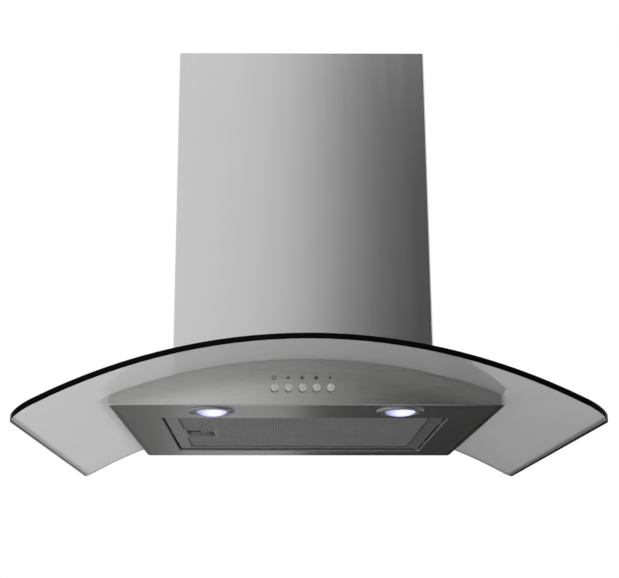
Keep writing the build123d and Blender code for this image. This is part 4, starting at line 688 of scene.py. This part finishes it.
def white_ray(tree):
    """1 for camera, glossy and transmission rays, which see the plain white background."""
    ray = tree.nodes.new("ShaderNodeLightPath")
    result = ray.outputs["Is Camera Ray"]
    for kind in ("Is Glossy Ray", "Is Transmission Ray"):
        either = tree.nodes.new("ShaderNodeMath")
        either.operation = "MAXIMUM"
        tree.links.new(result, either.inputs[0])
        tree.links.new(ray.outputs[kind], either.inputs[1])
        result = either.outputs[0]
    return result


def pale_floor():
    """A pale floor that shows white and still takes the object's shadow."""
    bpy.ops.mesh.primitive_plane_add(size=FLOOR_SPAN, location=(0, 0, FLOOR_LEVEL))
    thing = bpy.context.object
    thing.name = "floor"
    material, paint = matte("floor", 0.9)
    tree = material.node_tree
    glow = tree.nodes.new("ShaderNodeEmission")
    glow.inputs["Strength"].default_value = 1.0
    share = tree.nodes.new("ShaderNodeMath")
    share.operation = "MULTIPLY"
    share.inputs[1].default_value = FLOOR_WHITE
    tree.links.new(white_ray(tree), share.inputs[0])
    mix = tree.nodes.new("ShaderNodeMixShader")
    tree.links.new(share.outputs[0], mix.inputs["Fac"])
    tree.links.new(paint.outputs[0], mix.inputs[1])
    tree.links.new(glow.outputs[0], mix.inputs[2])
    tree.links.new(mix.outputs[0], tree.nodes["Material Output"].inputs["Surface"])
    thing.data.materials.append(material)


def studio_world():
    """White where it is seen, and a plain pale grey as light."""
    world = bpy.data.worlds.new("studio")
    bpy.context.scene.world = world
    world.use_nodes = True
    tree = world.node_tree
    seen = tree.nodes["Background"]
    seen.inputs["Color"].default_value = (*grey(1), 1)
    seen.inputs["Strength"].default_value = 1
    light = tree.nodes.new("ShaderNodeBackground")
    light.inputs["Color"].default_value = (*grey(0.9), 1)
    light.inputs["Strength"].default_value = 0.73
    mix = tree.nodes.new("ShaderNodeMixShader")
    tree.links.new(white_ray(tree), mix.inputs["Fac"])
    tree.links.new(light.outputs[0], mix.inputs[1])
    tree.links.new(seen.outputs[0], mix.inputs[2])
    tree.links.new(mix.outputs[0], tree.nodes["World Output"].inputs["Surface"])


def soft_lamp(name, place, aim, size, power):
    """A square area lamp that metal and glass don't mirror."""
    data = bpy.data.lights.new(name, "AREA")
    data.shape = "RECTANGLE"
    data.size = data.size_y = size
    data.energy = power
    lamp = bpy.data.objects.new(name, data)
    lamp.location = place
    lamp.visible_glossy = False
    lamp.rotation_euler = (Vector(aim) - Vector(place)).to_track_quat("-Z", "Y").to_euler()
    bpy.context.scene.collection.objects.link(lamp)


for facts in CARDS:
    card(*facts)
pale_floor()
studio_world()
soft_lamp("key_low", (1.6, -1.2, -1.2), (-0.2, -0.3, -0.1), 1.0, 40)

# ---------------------------------------------------------------- camera, fitted to the photograph

CAMERA_PLACE = (-0.0364, -1.530, -0.3849)
YAW, PITCH, ROLL = -0.0052, 0.2358, -0.0002
FOCAL_PIXELS, IMAGE_WIDTH, SENSOR_WIDTH = 1082.64, 619, 36.0

ahead = Vector((-math.sin(YAW) * math.cos(PITCH), math.cos(YAW) * math.cos(PITCH), math.sin(PITCH)))
right = Vector((math.cos(YAW), math.sin(YAW), 0))
up = right.cross(ahead)
right, up = (
    math.cos(ROLL) * right + math.sin(ROLL) * up,
    -math.sin(ROLL) * right + math.cos(ROLL) * up,
)
camera_data = bpy.data.cameras.new("camera")
camera_data.sensor_width = SENSOR_WIDTH
camera_data.lens = FOCAL_PIXELS / IMAGE_WIDTH * SENSOR_WIDTH
camera_data.shift_x, camera_data.shift_y = 0.05, 0.10
camera_data.clip_start = 0.05
camera = bpy.data.objects.new("camera", camera_data)
bpy.context.scene.collection.objects.link(camera)
turned = Matrix((right, up, -ahead)).transposed().to_4x4()
camera.matrix_world = Matrix.Translation(CAMERA_PLACE) @ turned
bpy.context.scene.camera = camera

bpy.context.scene.view_settings.view_transform = "Standard"
